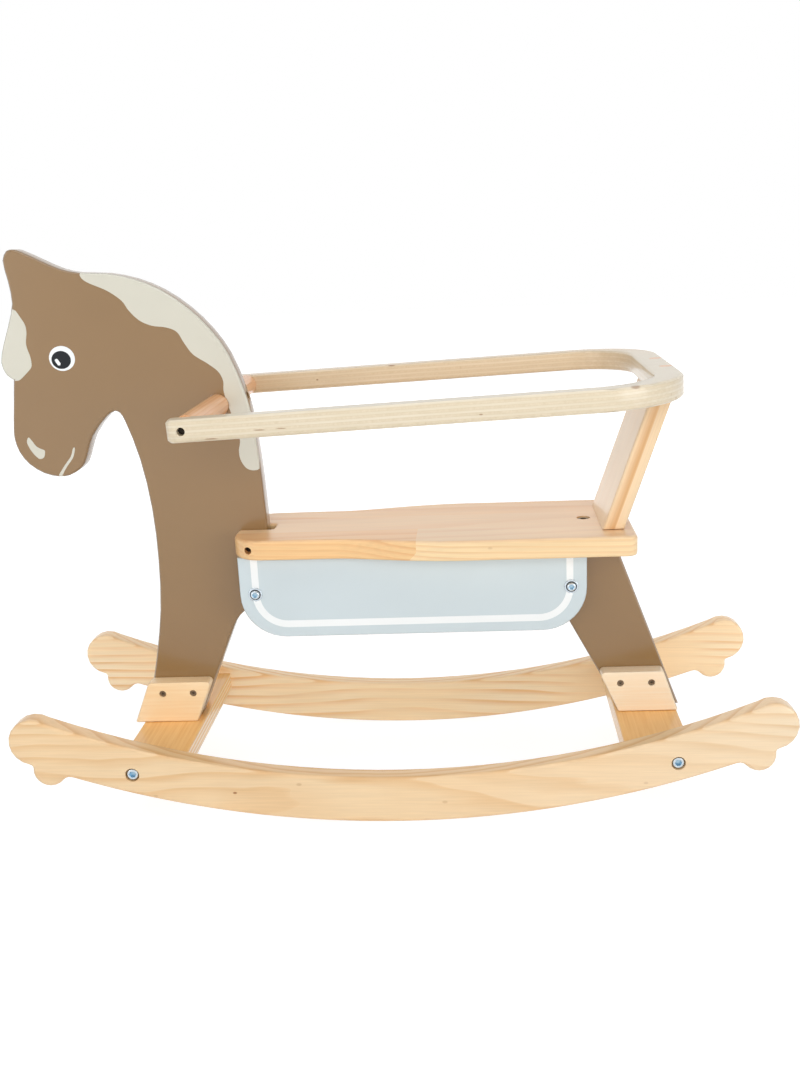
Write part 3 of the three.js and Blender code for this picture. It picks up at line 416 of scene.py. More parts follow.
def pine(
    name, pith, turn, year, sway, colours, knots=(), glued=None, fading=0.7, drift=None, edge_lines=0.0
):
    """Lacquered pine whose trunk had its pith at the point pith and grew along +X turned by turn.
    year is the width of a year ring and sway is how far the rings wander. colours are the early
    wood, the wood between and the late wood. glued gives the staves, fading says how faint the rings
    become where they fade, and edge_lines is 1 where edges that face up or down show every ring.
    Where it isn't 0, those edges are also painted darker and warmer, as painted shade."""
    material, tree, place = new_material(name)
    trunk = add_node(tree, "Mapping", [place, pith, turn], vector_type="TEXTURE")
    if glued:
        stave = staves(tree, place, *glued)
        trunk = shifted_by_stave(tree, trunk, stave)
    rings = year_rings(tree, trunk, year, sway)
    tint = ring_tint(tree, rings, colours)
    facing = add_node(tree, "NewGeometry").outputs["Normal"]
    facing = add_node(tree, "SeparateXYZ", [facing]).outputs["Z"]
    on_edge = add_node(tree, "Math", [facing], operation="ABSOLUTE")
    on_face = add_node(tree, "Math", [on_edge, -edge_lines, 1.0], operation="MULTIPLY_ADD")
    tint = faded(tree, trunk, tint, colours[1], fading, on_face)
    if glued:
        tint = warmed_by_stave(tree, tint, stave)
    if drift:
        tint = graded_tint(tree, place, tint, drift)
    # Faces that look up or down are painted darker and warmer: painted shade.
    if edge_lines:
        tint = add_node(tree, "Mix", [on_edge, tint, EDGE_SHADE_TINT], data_type="RGBA", blend_type="MULTIPLY")
    tint = spotted(tree, place, tint, knots, "#A66F3E")
    fibres = streaks(tree, trunk, (16, 620, 620), 0.3, 0.7)
    value = fibre_value(tree, trunk, fibres)
    tint = add_node(tree, "HueSaturation", {"Color": tint, "Value": value})
    height = add_node(tree, "Math", [rings, 0.4, fibres], operation="MULTIPLY_ADD")
    shader(tree, tint, fibres, 0.36, 0.46, LACQUER, (height, 0.35, 0.06 * MM))
    return material


# %% [markdown]
# ## The rockers, the seat and the backrest
#
# The two rockers are flat-sawn boards from different trees: the near one is pale with long soft
# arches and a few pin knots, and the far one has straight, stronger lines that fade towards its ends.
# The seat is glued up from staves, and its front edge shows the joint between two of them. Its top is
# painted a shade cooler than its sawn edge, as a painted sheen of the white room. The backrest's grain
# runs up the board, at the backrest's own lean.

# %% The near rocker, and the saddle's spacers in the same pine
PALE_PINE = ("#EBCEA4", "#E8C698", "#DFB784")


def knot(x, y, z, radius, strength):
    """A knot as a soft spot, in millimetres, longer along the board than high."""
    return (x, y, z), (1.7 * radius, 5, radius), strength


near_knots = [
    knot(-144.3, -114, 31.5, 1.4, 1.0),
    knot(-87.7, -114, 38.3, 1.9, 0.32),
    knot(-214.1, -114, 30.1, 1.6, 0.25),
    knot(38.9, -114, 18.6, 1.9, 0.28),
    knot(213.2, -114, 32.9, 1.6, 0.25),
]
near_pine = pine(
    "flat_sawn_pine",
    pith=(0, -0.03, 0.03),
    turn=(0, 0.02, 0.02),
    year=7 * MM,
    sway=34 * MM,
    colours=PALE_PINE,
    knots=near_knots,
    drift=("X", 0.0, 0.33, (1.05, 1.14, 1.32)),
    edge_lines=1.0,
)
spacers = [n for n in nodes if n.startswith("saddle_spacer")]
finish_nodes(near_pine, "rocker_left", *spacers)
print("knots in the near rocker:", len(near_knots), "spacers of its pine:", len(spacers))

# %% The far rocker
# These colours are partly the far rocker's own and partly painted light: they are paler to lift its inner
# face out of the shade under the seat.
STRIPED_PINE = ("#FFE8C3", "#FEE0B3", "#F1C288")
far_pine = pine(
    "straight_pine",
    pith=(4.7, 0.21, -0.12),
    turn=(0, 0.02, 0.0),
    year=6 * MM,
    sway=14 * MM,
    colours=STRIPED_PINE,
    fading=1.0,
    edge_lines=0.6,
)
finish_nodes(far_pine, "rocker_right")

# %% The seat
SEAT_PINE = ("#F6DCAE", "#F3D3A2", "#ECC594")
# A stave's width, the first stave's edge across the seat, and the place of its end joint.
seat_staves = (47 * MM, -71 * MM, 20.3 * MM)
seat_pine = pine(
    "glued_pine",
    pith=(0, 0.04, 0.05),
    turn=(0, 0.01, 0.01),
    year=5 * MM,
    sway=10 * MM,
    colours=SEAT_PINE,
    knots=[knot(84.2, -70, 235, 1.6, 0.22)],
    glued=seat_staves,
    # Painted sheen: the top's last two millimetres turn cooler, for the white room mirrored there.
    drift=("Z", seat_high.z - 2.0 * MM, seat_high.z - 0.2 * MM, (0.96, 0.92, 0.99)),
)
finish_nodes(seat_pine, "seat")

# %% The backrest
BACK_PINE = ("#F0D3AB", "#EAC292", "#D7A56E")
BACK_LEAN = math.radians(19.3)
back_pine = pine(
    "backrest_pine",
    pith=(0.0013, 0, 0.3086),
    turn=(0, BACK_LEAN - math.pi / 2, 0),
    year=16 * MM,
    sway=2 * MM,
    colours=BACK_PINE,
)
finish_nodes(back_pine, "backrest")
print("pine boards done:", [m.name for m in bpy.data.materials if "pine" in m.name])

# %% [markdown]
# ## Plywood: the guard ring, the crossbars and the cleats
#
# These are sawn from plywood, a stack of peeled veneers glued crosswise, because a narrow curved
# ring of plain wood would snap across its grain. The faces show the quiet figure of one veneer. The
# sawn edges show the stack: veneers seen along their fibres are smooth and pale, those seen end on
# are darker and speckled, with a thin glue line between, and here and there a small gap. As the
# pattern is again a solid one, the stripes turn round the ring's curve by themselves. The veneers
# are 2.14 mm thick in the 18 mm pieces and 1.9 mm in the 15 mm ones.

# %% Layers of veneer
def layers(tree, local, veneer):
    """The number of the veneer at each place, and how far through it the place lies, from 0 to 1.
    The glue lines aren't quite flat, and the board's face lies within a layer, not at its start."""
    waves = streaks(tree, local, (9, 9, 0), 0.0, 1.0)
    across = add_node(tree, "SeparateXYZ", [local]).outputs["Z"]
    depth = add_node(tree, "Math", [across, 1 / veneer, 0.3], operation="MULTIPLY_ADD")
    depth = add_node(tree, "Math", [waves, 0.35, depth], operation="MULTIPLY_ADD")
    layer = add_node(tree, "Math", [depth], operation="FLOOR")
    within = add_node(tree, "Math", [depth], operation="FRACT")
    return layer, within


def layer_tint(tree, crosswise, along_fibres, end_on, along_colours, end_colours):
    """The colour of the wood in a veneer, seen along its fibres or end on."""
    along_tint = add_node(tree, "ValToRGB", [along_fibres], enumerate(along_colours))
    end_tint = add_node(tree, "ValToRGB", [end_on], enumerate(end_colours))
    return add_node(tree, "Mix", [crosswise, along_tint, end_tint], data_type="RGBA")


def glued_lines(tree, within, tint, glue_colour):
    """Thin glue lines where a veneer starts and ends, not quite as dark as the glue itself."""
    middle = add_node(tree, "Math", [within, 0.5], operation="SUBTRACT")
    middle = add_node(tree, "Math", [middle], operation="ABSOLUTE")
    glue = add_node(tree, "MapRange", [middle, 0.40, 0.5])
    glue = add_node(tree, "Math", [glue, 0.55], operation="MULTIPLY")
    return add_node(tree, "Mix", [glue, tint, linear(glue_colour)], data_type="RGBA")


def gapped(tree, own, crosswise, tint, gaps):
    """Small dark gaps in the crosswise veneers."""
    hollow = streaks(tree, own, (60, 60, 0), 0.70, 0.74)
    hollow = add_node(tree, "Math", [hollow, crosswise], operation="MULTIPLY")
    hollow = add_node(tree, "Math", [hollow, gaps], operation="MULTIPLY")
    return add_node(tree, "Mix", [hollow, tint, linear("#A98252")], data_type="RGBA")


# %% Plywood material
def plywood(name, surface, turn, veneer, colours, gaps, drift=None, spots=()):
    """Lacquered plywood whose face veneer lies at the point surface. Turned by turn, its layers are
    stacked along Z and its face grain runs along X. colours are veneers seen along and end on, and
    the glue. gaps is how much of the crosswise veneers' dark gaps shows, from 0 to 1."""
    material, tree, place = new_material(name)
    local = add_node(tree, "Mapping", [place, surface, turn], vector_type="TEXTURE")
    layer, within = layers(tree, local, veneer)
    crosswise = add_node(tree, "Math", [layer, 2.0], operation="FLOORED_MODULO")
    # Each layer takes its own part of the noise.
    shift = add_node(tree, "CombineXYZ", [layer, layer, layer])
    own = add_node(tree, "VectorMath", [shift, (0.37, 0.53, 0.0), local], operation="MULTIPLY_ADD")
    along_fibres = streaks(tree, own, (14, 420, 420), 0.32, 0.68)
    end_on = streaks(tree, own, (420, 14, 420), 0.32, 0.68)
    along_colours, end_colours, glue_colour = colours
    tint = layer_tint(tree, crosswise, along_fibres, end_on, along_colours, end_colours)
    tint = glued_lines(tree, within, tint, glue_colour)
    tint = gapped(tree, own, crosswise, tint, gaps)
    if drift:
        tint = graded_tint(tree, place, tint, drift)
    tint = spotted(tree, place, tint, spots, "#8C5528")
    shader(tree, tint, along_fibres, 0.36, 0.48, LACQUER, (along_fibres, 0.3, 0.05 * MM))
    return material


# %% The guard ring
PALE_PLY = (("#DBCDB2", "#E4D8C2"), ("#D8C8AA", "#DFD0B5"), "#CBB893")
THICK_VENEER = 2.14 * MM
RING_TILT = math.radians(2.31)
ring_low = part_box("guard_ring")[0]
# Red-brown specks and one knot: centre and half sizes in millimetres, strength.
ring_flecks = [
    ((-130.6, -142, 349.9), (7, 5, 0.7), 0.8),
    ((-92.6, -142, 355.8), (6, 5, 0.6), 0.7),
    ((-75.4, -142, 356.5), (5, 5, 0.6), 0.6),
    ((79.4, -142, 362.5), (2, 5, 0.8), 0.6),
    ((198.6, -136, 379.2), (5, 9, 2.2), 0.55),
    ((-82.3, 123.5, 359), (1.5, 5, 1.0), 0.8),
    ((-7.8, 123.5, 370.5), (5, 5, 0.8), 0.8),
]
ring_ply = plywood(
    "ring_plywood",
    surface=(ring_low.x, 0, ring_low.z),
    turn=(0, -RING_TILT, 0),
    veneer=THICK_VENEER,
    colours=PALE_PLY,
    gaps=0.6,
    # Painted shade: the ring's far half turns darker and warmer, for the shade and warm bounce light there.
    drift=("Y", 0.03, 0.12, (1.0, 0.90, 0.80)),
    spots=ring_flecks,
)
finish_nodes(ring_ply, "guard_ring")

# %% The crossbars and the cleats
# The end-on veneers here are paler partly in the wood and partly as painted light, to lift the crossbars'
# shaded sawn sides.
WARM_PLY = (("#F0B66A", "#FCCB84"), ("#FFE0B4", "#FFECCA"), "#C98F55")
CLEAT_PLY = (("#F9D9AA", "#FDE2B9"), ("#F4D1A1", "#F9DBAE"), "#DDB383")
WHITE_PLY = (("#FDE7C6", "#FFEED4"), ("#F8DFBC", "#FDE8CA"), "#E4C49C")
THIN_VENEER = 1.9 * MM
bar_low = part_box("front_crossbar")[0]
along_the_bar = (0, 0, math.pi / 2)
bar_ply = plywood("crossbar_plywood", (0, 0, bar_low.z), along_the_bar, THICK_VENEER, WARM_PLY, gaps=0.3)
finish_nodes(bar_ply, "front_crossbar", "rear_crossbar")
cleat_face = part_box("front_cleat_left")[0].y
upright = (math.pi / 2, 0, 0)
for end, colours in (("front", CLEAT_PLY), ("rear", WHITE_PLY)):
    cleat_ply = plywood(end + "_cleat_plywood", (0, cleat_face, 0), upright, THIN_VENEER, colours, gaps=0.3)
    finish_nodes(cleat_ply, end + "_cleat_left", end + "_cleat_right")
print("plywood done:", [m.name for m in bpy.data.materials if "plywood" in m.name])

# %% [markdown]
# ## The handlebar and the plugs
#
# The handlebar and the little plugs over the ring's screws are beech dowels. Beech is redder than
# pine and has no strong rings, only short flecks along the grain, so its years are narrow and pale.

# %% Dowels
BEECH = ("#F0BA8A", "#ECB07E", "#E2A26C")
across_the_horse = (0, 0, math.pi / 2)
dowel = pine("beech_dowel", (0, 0, 0.33), across_the_horse, year=3 * MM, sway=6 * MM, colours=BEECH)
hidden_dowels = [n for n in nodes if n.startswith("rocker_dowel")]
finish_nodes(dowel, "handlebar", "ring_plug_left", "ring_plug_right", *hidden_dowels)
print("beech on", 3 + len(hidden_dowels), "nodes")

# %% [markdown]
# ## Satin paint
#
# The body board and the saddle panels are sprayed with a water-based satin paint. Up close such paint
# has a faint orange peel, a millimetre or two across, and its colour drifts by a percent or so where
# the coat is thicker. It mirrors the white room only at a flat angle, which turns the board's edges
# pale. One function makes every paint on the horse.

# %% Paint material
def satin_paint(name, colour, roughness=0.34, ior=1.5, coat=0.8):
    """Sprayed satin paint of that colour."""
    material, tree, place = new_material(name)
    clouds = streaks(tree, place, (11, 11, 11), 0.3, 0.7)
    peel = streaks(tree, place, (520, 520, 520), 0.3, 0.7)
    value = add_node(tree, "MapRange", [clouds, 0.0, 1.0, 0.985, 1.015])
    tint = add_node(tree, "HueSaturation", {"Color": linear(colour), "Value": value})
    finish = {"IOR": ior, "Coat Weight": coat, "Coat Roughness": 0.12}
    shader(tree, tint, clouds, roughness - 0.03, roughness + 0.03, finish, (peel, 0.1, 0.02 * MM))
    return material


brown = satin_paint("brown_satin_paint", "#8C6C42")
cream = satin_paint("cream_satin_paint", "#D3D0C1")
white = satin_paint("white_satin_paint", "#F2F6F7")
dark = satin_paint("dark_eye_paint", "#020C14", roughness=0.3, ior=1.4, coat=0.0)
blue = satin_paint("grey_blue_satin_paint", "#CAD7DC")
print("paints:", [m.name for m in bpy.data.materials if "paint" in m.name])

# %% [markdown]
# ## Painting by numbers on a flat face
#
# The mane, the forelock, the eye and the stripe on the saddle are painted on with a mask, so their
# edges are crisp. A texture would need an image, and thin patches laid on top would be loose skins.
# Instead the piece is copied, and its flat face is cut again along the paint lines, as a stencil
# would, with each region given its own paint. A Delaunay triangulation does the cutting: it takes the
# face's old rim and the new paint lines, and fills everything with clean triangles.

# %% Lines on a stencil
def softened(points, closed=False, steps=5):
    """A smooth line through the points, by Catmull and Rom's rule."""
    count = len(points)
    spans = range(count if closed else count - 1)
    line = []
    for i in spans:
        near = (i - 1, i, i + 1, i + 2)
        if not closed:
            near = [min(max(k, 0), count - 1) for k in near]
        a, b, c, d = (Vector(points[k % count]) for k in near)
        for step in range(steps):
            t = step / steps
            place = b * 2 + (c - a) * t
            place += (a * 2 - b * 5 + c * 4 - d) * t * t
            place += (b * 3 - a - c * 3 + d) * t * t * t
            line.append(place / 2)
    if not closed:
        line.append(Vector(points[-1]))
    return line


def inside(point, loop):
    """Whether the point lies inside the closed loop, by counting the crossings to its right."""
    odd = False
    for a, b in loop:
        if (a[1] > point[1]) != (b[1] > point[1]):
            crossing = a[0] + (point[1] - a[1]) * (b[0] - a[0]) / (b[1] - a[1])
            if crossing > point[0]:
                odd = not odd
    return odd


# %% The face and its rounded edge
# Corners this close to a plane count as in it.
IN_PLANE = 0.001 * MM
# The painted boards' edges are rounded with this radius.
EASED = 2 * MM


def stencil_place(corner):
    """A corner's place on the stencil: its x and z."""
    return Vector((corner.co.x, corner.co.z))


def flat_faces(solid, side):
    """The faces that lie in the plane y = side, and the edges round them."""
    flat = [f for f in solid.faces if all(abs(v.co.y - side) < IN_PLANE for v in f.verts)]
    kept = set(flat)
    rim = [e for e in solid.edges if sum(f in kept for f in e.link_faces) == 1]
    return flat, rim


def mark_rim(solid, side, point):
    """A corner on the rim of the flat face, as near as can be to the point on the stencil."""
    found = []
    for edge in flat_faces(solid, side)[1]:
        a, b = (stencil_place(v) for v in edge.verts)
        share = max(0.0, min(1.0, (Vector(point) - a).dot(b - a) / (b - a).length_squared))
        found.append(((a.lerp(b, share) - Vector(point)).length, edge, share))
    edge, share = min(found, key=lambda item: item[0])[1:]
    # A corner that is almost there already is used again.
    if share < 0.02 or share > 0.98:
        corner = edge.verts[0] if share < 0.5 else edge.verts[1]
    else:
        corner = bmesh.utils.edge_split(edge, edge.verts[0], share)[1]
    return stencil_place(corner)


def rounding(solid, side):
    """The faces of the rounded edge beside the flat face at y = side."""
    reach = EASED + 0.01 * MM
    near = [f for f in solid.faces if all(abs(v.co.y - side) < reach for v in f.verts)]
    return [f for f in near if any(abs(v.co.y - side) > IN_PLANE for v in f.verts)]


def cut_rounding(solid, side, point):
    """Cuts the rounded edge straight across at the rim's corner nearest to the stencil's point."""
    rim = flat_faces(solid, side)[1]
    corner = min((v for e in rim for v in e.verts), key=lambda v: (stencil_place(v) - point).length)
    ends = [e.other_vert(corner) for e in corner.link_edges if e in rim]
    across = stencil_place(ends[0]) - stencil_place(ends[1])
    normal = Vector((across.x, 0, across.y)).normalized()
    close = [f for f in rounding(solid, side) if corner in f.verts]
    parts = list(dict.fromkeys(p for f in close for p in (f, *f.edges, *f.verts)))
    bmesh.ops.bisect_plane(solid, geom=parts, dist=0.01 * MM, plane_co=corner.co, plane_no=normal)


# %% Cutting along the paint lines
def split_rim(rim, places, pieces, origins, made):
    """Gives the rim the corners that the paint lines make where they cross it again. places and
    pieces are the cut face's corners and edges, origins says which rim edge an edge lies on, and
    made maps the cut face's corners to the solid's."""
    for k, edge in enumerate(rim):
        near, far = edge.verts
        start = stencil_place(near) / MM
        crossed = [i for pair, origin in zip(pieces, origins) if k in origin for i in pair if i not in made]
        for i in sorted(dict.fromkeys(crossed), key=lambda i: (places[i] - start).length):
            rest = next(e for e in near.link_edges if e.other_vert(near) is far)
            gone = (places[i] * MM - stencil_place(near)).length
            near = bmesh.utils.edge_split(rest, near, gone / rest.calc_length())[1]
            made[i] = near


def paint_at(middle, shapes):
    """The paint number at a place: of the shapes round it, the last one counts."""
    found = [paint for paint, shape in shapes if inside(middle, shape)]
    return found[-1] if found else None


def recut(solid, side, regions):
    """Cuts the flat face at y = side along each region's lines and gives the region its paint.
    A region is (paint number, line, detour): a line with a detour starts and ends on the rim, and
    the detour closes it outside the face, so that the paint runs over the rounded edge as well."""
    lines = []
    for paint, line, detour in regions:
        if detour:
            line = [mark_rim(solid, side, line[0]), *line[1:-1], mark_rim(solid, side, line[-1])]
            cut_rounding(solid, side, line[0])
            cut_rounding(solid, side, line[-1])
        lines.append((paint, line, detour))
    flat, rim = flat_faces(solid, side)
    corners = list(dict.fromkeys(v for e in rim for v in e.verts))
    number = {v: i for i, v in enumerate(corners)}
    # The triangulation works in millimetres, where its tolerance is a sensible number.
    points = [stencil_place(v) / MM for v in corners]
    cuts = [(number[e.verts[0]], number[e.verts[1]]) for e in rim]
    outline = [(points[a], points[b]) for a, b in cuts]
    shapes = []
    for paint, line, detour in lines:
        first = len(points)
        points += [Vector(p) / MM for p in line]
        cuts += [(first + i, first + i + 1) for i in range(len(line) - 1)]
        if not detour:
            cuts.append((len(points) - 1, first))
        whole = [Vector(p) / MM for p in [*line, *(detour or ())]]
        shapes.append((paint, [(whole[i - 1], whole[i]) for i in range(len(whole))]))
    for face in rounding(solid, side):
        middle = face.calc_center_median() / MM
        paint = paint_at((middle.x, middle.z), shapes)
        if paint is not None:
            face.material_index = paint
    cut = geometry.delaunay_2d_cdt(points, cuts, [], 0, 0.0001)
    places, pieces, triangles, sources, origins = cut[:5]
    made = {}
    for i, old in enumerate(sources):
        same = [s for s in old if s < len(corners)]
        if same:
            made[i] = corners[same[0]]
    split_rim(rim, places, pieces, origins, made)
    bmesh.ops.delete(solid, geom=flat, context="FACES")
    counts = {}
    for triangle in triangles:
        middle = sum((places[i] for i in triangle), Vector((0, 0))) / 3
        if not inside(middle, outline):
            continue
        for i in triangle:
            if i not in made:
                made[i] = solid.verts.new((places[i].x * MM, side, places[i].y * MM))
        face = solid.faces.new([made[i] for i in (triangle if side < 0 else triangle[::-1])])
        face.material_index = paint_at(middle, shapes) or 0
        counts[face.material_index] = counts.get(face.material_index, 0) + 1
    return counts


# %% [markdown]
# ## Shading and copying a painted piece
#
# The cut face is a fan of long thin triangles, and smooth shading would let the rounded edge's slope
# run into them. So each corner of each face gets its normal set one by one, and then the copy stands
# in for the CAD solid.

# %% Normals and copies
def corner_normals(mesh, side):
    """A normal for each corner of each face: the flat face stays flat right up to its rim, the rounded
    edge starts from it, and every other corner takes the mean of the faces that run on smoothly."""
    smooth = math.cos(math.radians(SHARP))
    others = {i: [] for i in range(len(mesh.vertices))}
    flat = {i for i, v in enumerate(mesh.vertices) if abs(abs(v.co.y) - side) < IN_PLANE}
    for face in mesh.polygons:
        if not all(i in flat for i in face.vertices) or abs(face.normal.y) < 0.9:
            for i in face.vertices:
                others[i].append(face)
    normals = []
    for face in mesh.polygons:
        straight = Vector((0, math.copysign(1, face.normal.y), 0))
        for i in face.vertices:
            if i in flat and straight.dot(face.normal) > smooth:
                normals.append(straight)
                continue
            near = [other for other in others[i] if other.normal.dot(face.normal) > smooth]
            mean = sum((other.normal * other.area for other in near), Vector((0, 0, 0)))
            normals.append(mean.normalized() if mean.length > 0 else face.normal.copy())
    return normals


def stand_in(solid, name, node, finishes):
    """Puts a solid in the scene in place of a CAD node, which it hides, with its materials."""
    print(name, "open edges:", sum(not e.is_manifold for e in solid.edges))
    mesh = bpy.data.meshes.new(name)
    solid.to_mesh(mesh)
    solid.free()
    for finish in finishes:
        mesh.materials.append(finish)
    piece = new_object(name, mesh)
    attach(piece, "root")
    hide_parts(node)
    return piece


def painted_copy(node, name, paints, sides):
    """A copy of a CAD node with paint regions on its flat faces. sides maps y to the regions there."""
    solid = bmesh.new()
    solid.from_mesh(nodes[node].data)
    bmesh.ops.remove_doubles(solid, verts=solid.verts, dist=0.001 * MM)
    for face in solid.faces:
        face.material_index = 0
    for side, regions in sides.items():
        print(name, "at y", round(side, 4), "triangles per paint:", recut(solid, side, regions))
    mesh = stand_in(solid, name, node, paints).data
    # The CAD mesh may bring normals of its own, which don't fit the new faces.
    if "custom_normal" in mesh.attributes:
        mesh.attributes.remove(mesh.attributes["custom_normal"])
    for face in mesh.polygons:
        face.use_smooth = True
    mesh.normals_split_custom_set(corner_normals(mesh, max(abs(v.co.y) for v in mesh.vertices)))


# %% [markdown]
# ## The horse's face and mane
#
# A cream forelock hangs from below the ear, and a wavy cream mane follows the neck's back edge down to
# a rounded end above the seat. The eye is a white oval with a dark pupil and one white glint, the
# nostril is a cream bean, and the mouth is a thin cream line that widens to the chin. The same
# stencils are used on both sides, as the real ones are.

# %% Ovals and strokes
def oval(x_low, x_high, z_low, z_high, steps=40):
    """An oval that fills a box, all in millimetres."""
    middle = Vector((x_low + x_high, z_low + z_high)) / 2
    half = Vector((x_high - x_low, z_high - z_low)) / 2
    turns = [2 * math.pi * k / steps for k in range(steps)]
    return [(middle.x + half.x * math.cos(t), middle.y + half.y * math.sin(t)) for t in turns]


def capsule(start, end, width, steps=8):
    """A short thick stroke with round ends, all in millimetres."""
    a, b = Vector(start), Vector(end)
    heading = math.atan2(b.y - a.y, b.x - a.x)
    line = []
    for centre, first in ((b, heading - math.pi / 2), (a, heading + math.pi / 2)):
        for k in range(steps + 1):
            t = first + math.pi * k / steps
            line.append(centre + Vector((math.cos(t), math.sin(t))) * width / 2)
    return line


def in_metres(points):
    """A line of the stencil in metres."""
    return [Vector(p) * MM for p in points]


# %% The head's stencils: millimetres along the horse and above the floor
FORELOCK = [
    (-323.9, 445.3), (-320.4, 439.1), (-316.9, 432.1), (-316.5, 425.2), (-318.0, 417.4),
    (-317.8, 412.1), (-316.0, 405.1), (-315.5, 398.9), (-316.5, 394.6), (-321.7, 389.4),
    (-327.8, 384.3), (-332.3, 383.6),
]
MANE = [
    (-263.7, 473.2), (-261.9, 469.6), (-256.0, 465.6), (-241.3, 458.8), (-229.7, 450.1),
    (-224.3, 441.5), (-215.9, 432.7), (-205.4, 427.8), (-193.1, 425.9), (-184.0, 421.7),
    (-178.6, 412.2), (-171.7, 401.9), (-159.9, 393.7), (-150.9, 386.3), (-147.0, 377.7),
    (-147.3, 368.1), (-143.7, 353.6), (-139.2, 337.6), (-136.5, 324.5), (-138.1, 315.5),
    (-137.8, 308.2), (-135.6, 302.6), (-132.3, 298.4), (-127.9, 296.6), (-123.4, 296.7),
    (-120.1, 297.5),
]
NOSTRIL = [
    (-327.0, 332.6), (-328.9, 328.6), (-327.7, 324.0), (-324.8, 318.4), (-320.8, 313.7),
    (-318.2, 312.7), (-315.3, 314.0), (-314.0, 317.2), (-314.0, 320.4), (-317.9, 322.3),
    (-321.2, 324.7), (-324.2, 329.4),
]
MOUTH = [
    (-305.3, 295.0), (-301.9, 300.0), (-297.3, 306.2), (-290.8, 314.2), (-288.0, 321.3),
    (-286.2, 321.4), (-288.8, 313.2), (-295.3, 305.0), (-299.5, 298.6), (-300.8, 295.0),
]

# %% The painted body board
PAINTS = [brown, cream, white, dark]
BROWN, CREAM, WHITE, DARK = range(4)
head_regions = [
    (CREAM, softened(in_metres(FORELOCK)), in_metres([(-377.7, 371.6), (-377.7, 461.6)])),
    (CREAM, softened(in_metres(MANE)), in_metres([(-57.7, 291.6), (-57.7, 521.6), (-247.7, 521.6)])),
    (CREAM, softened(in_metres(NOSTRIL), closed=True), None),
    (CREAM, softened(in_metres(MOUTH)), in_metres([(-297.7, 271.6), (-309.7, 271.6)])),
    (WHITE, in_metres(oval(-299.4, -276.4, 391.0, 412.9)), None),
    (DARK, in_metres(oval(-297.4, -280.1, 392.8, 408.6)), None),
    (WHITE, in_metres(capsule((-292.9, 400.3), (-291.2, 397.4), 3.0)), None),
]
board_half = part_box("body_board")[1].y
both_faces = {-board_half: head_regions, board_half: head_regions}
painted_copy("body_board", "painted_body_board", PAINTS, both_faces)

# %% [markdown]
# ## The saddle panels
#
# Two blue-grey panels hang on either side of the seat, on spacers. A white stripe of even width runs
# down, round both lower corners and up again, at an even distance from the panel's edge.

# %% The stripe's outlines, in millimetres
STRIPE_OUTSIDE = {"front": -130.1, "rear": 157.8, "bottom": 157.1, "round": 31.0}
STRIPE_INSIDE = {"front": -123.7, "rear": 151.7, "bottom": 163.6, "round": 24.6}
panel_low, panel_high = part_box("saddle_panel_left")


def stripe_line(edge, steps=12):
    """One edge of the stripe: down at the front, round two corners and up at the rear."""
    radius = edge["round"]
    top = panel_high.z / MM
    height = edge["bottom"] + radius
    line = [(edge["front"], top)]
    for centre_x, first in ((edge["front"] + radius, math.pi), (edge["rear"] - radius, 1.5 * math.pi)):
        for k in range(steps + 1):
            t = first + math.pi / 2 * k / steps
            line.append((centre_x + radius * math.cos(t), height + radius * math.sin(t)))
    line.append((edge["rear"], top))
    return in_metres(line)


def over_the_top(line):
    """The detour that closes such a line above the panel."""
    above = 300 * MM
    return [Vector((line[-1].x, above)), Vector((line[0].x, above))]


# %% The striped saddle panels
PANEL_BLUE, STRIPE_WHITE = range(2)
outer_line = stripe_line(STRIPE_OUTSIDE)
inner_line = stripe_line(STRIPE_INSIDE)
stripe_regions = [
    (STRIPE_WHITE, outer_line, over_the_top(outer_line)),
    (PANEL_BLUE, inner_line, over_the_top(inner_line)),
]
for hand, side in (("left", panel_low.y), ("right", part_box("saddle_panel_right")[1].y)):
    panel = "saddle_panel_" + hand
    painted_copy(panel, "striped_" + panel, [blue, white], {side: stripe_regions})

# %% [markdown]
# ## Steel: bright zinc, and darker steel painted for shade
#
# The bolts that show are steel with a bright zinc plating, faintly blue. It is a true metal, so its
# whole colour is in its reflection, and the plating's fine crystals make it a little cloudy. Their
# sockets are painted bluer and darker, as painted shade in the hollow. The connectors in the cleats
# and the seat's bolts get a duller, browner zinc, partly a duller plating and partly painted shade of
# their recesses, and the wood screws, which sit deep in their holes, are painted black as painted shade.

# %% Steel
def steel(name, dark, light, smooth, rough):
    """A metal between two colours and two roughnesses."""
    material, tree, place = new_material(name)
    # The plating's crystals are a tenth of a millimetre, and are drawn about a millimetre wide.
    clouds = streaks(tree, place, (900, 900, 900), 0.3, 0.7)
    tint = add_node(tree, "ValToRGB", [clouds], enumerate((dark, light)))
    shader(tree, tint, clouds, smooth, rough, {"Metallic": 1.0})
    return material


bright_zinc = steel("bright_zinc_plated_steel", "#BAC5CE", "#D8E1E7", 0.22, 0.32)
# Darker and browner than the bright plating: partly a duller plating and partly painted shade of the
# recesses the connectors sit in.
dull_plating_and_shade = steel("shaded_dull_plating", "#85796A", "#9E9080", 0.42, 0.55)
# Painted black: painted shade for screws deep in their holes and for the saddle bolts' groove.
black_for_shade = steel("blackened_steel", "#2A2622", "#3A342E", 0.40, 0.55)
# The sockets' steel is darker and bluer than the plating: painted shade in the hollow.
shaded_socket = steel("shaded_socket", "#8FB0C6", "#AFCADA", 0.25, 0.40)
screws = [n for n in nodes if "screw" in n]
connectors = [n for n in nodes if n.startswith(("cleat_", "seat_bolt"))]
bolts = [n for n in nodes if ("bolt" in n or "nut" in n) and n not in connectors]
finish_nodes(black_for_shade, *screws)
finish_nodes(dull_plating_and_shade, *connectors)
finish_nodes(bright_zinc, *bolts)
print("steel on", len(screws) + len(connectors) + len(bolts), "nodes")

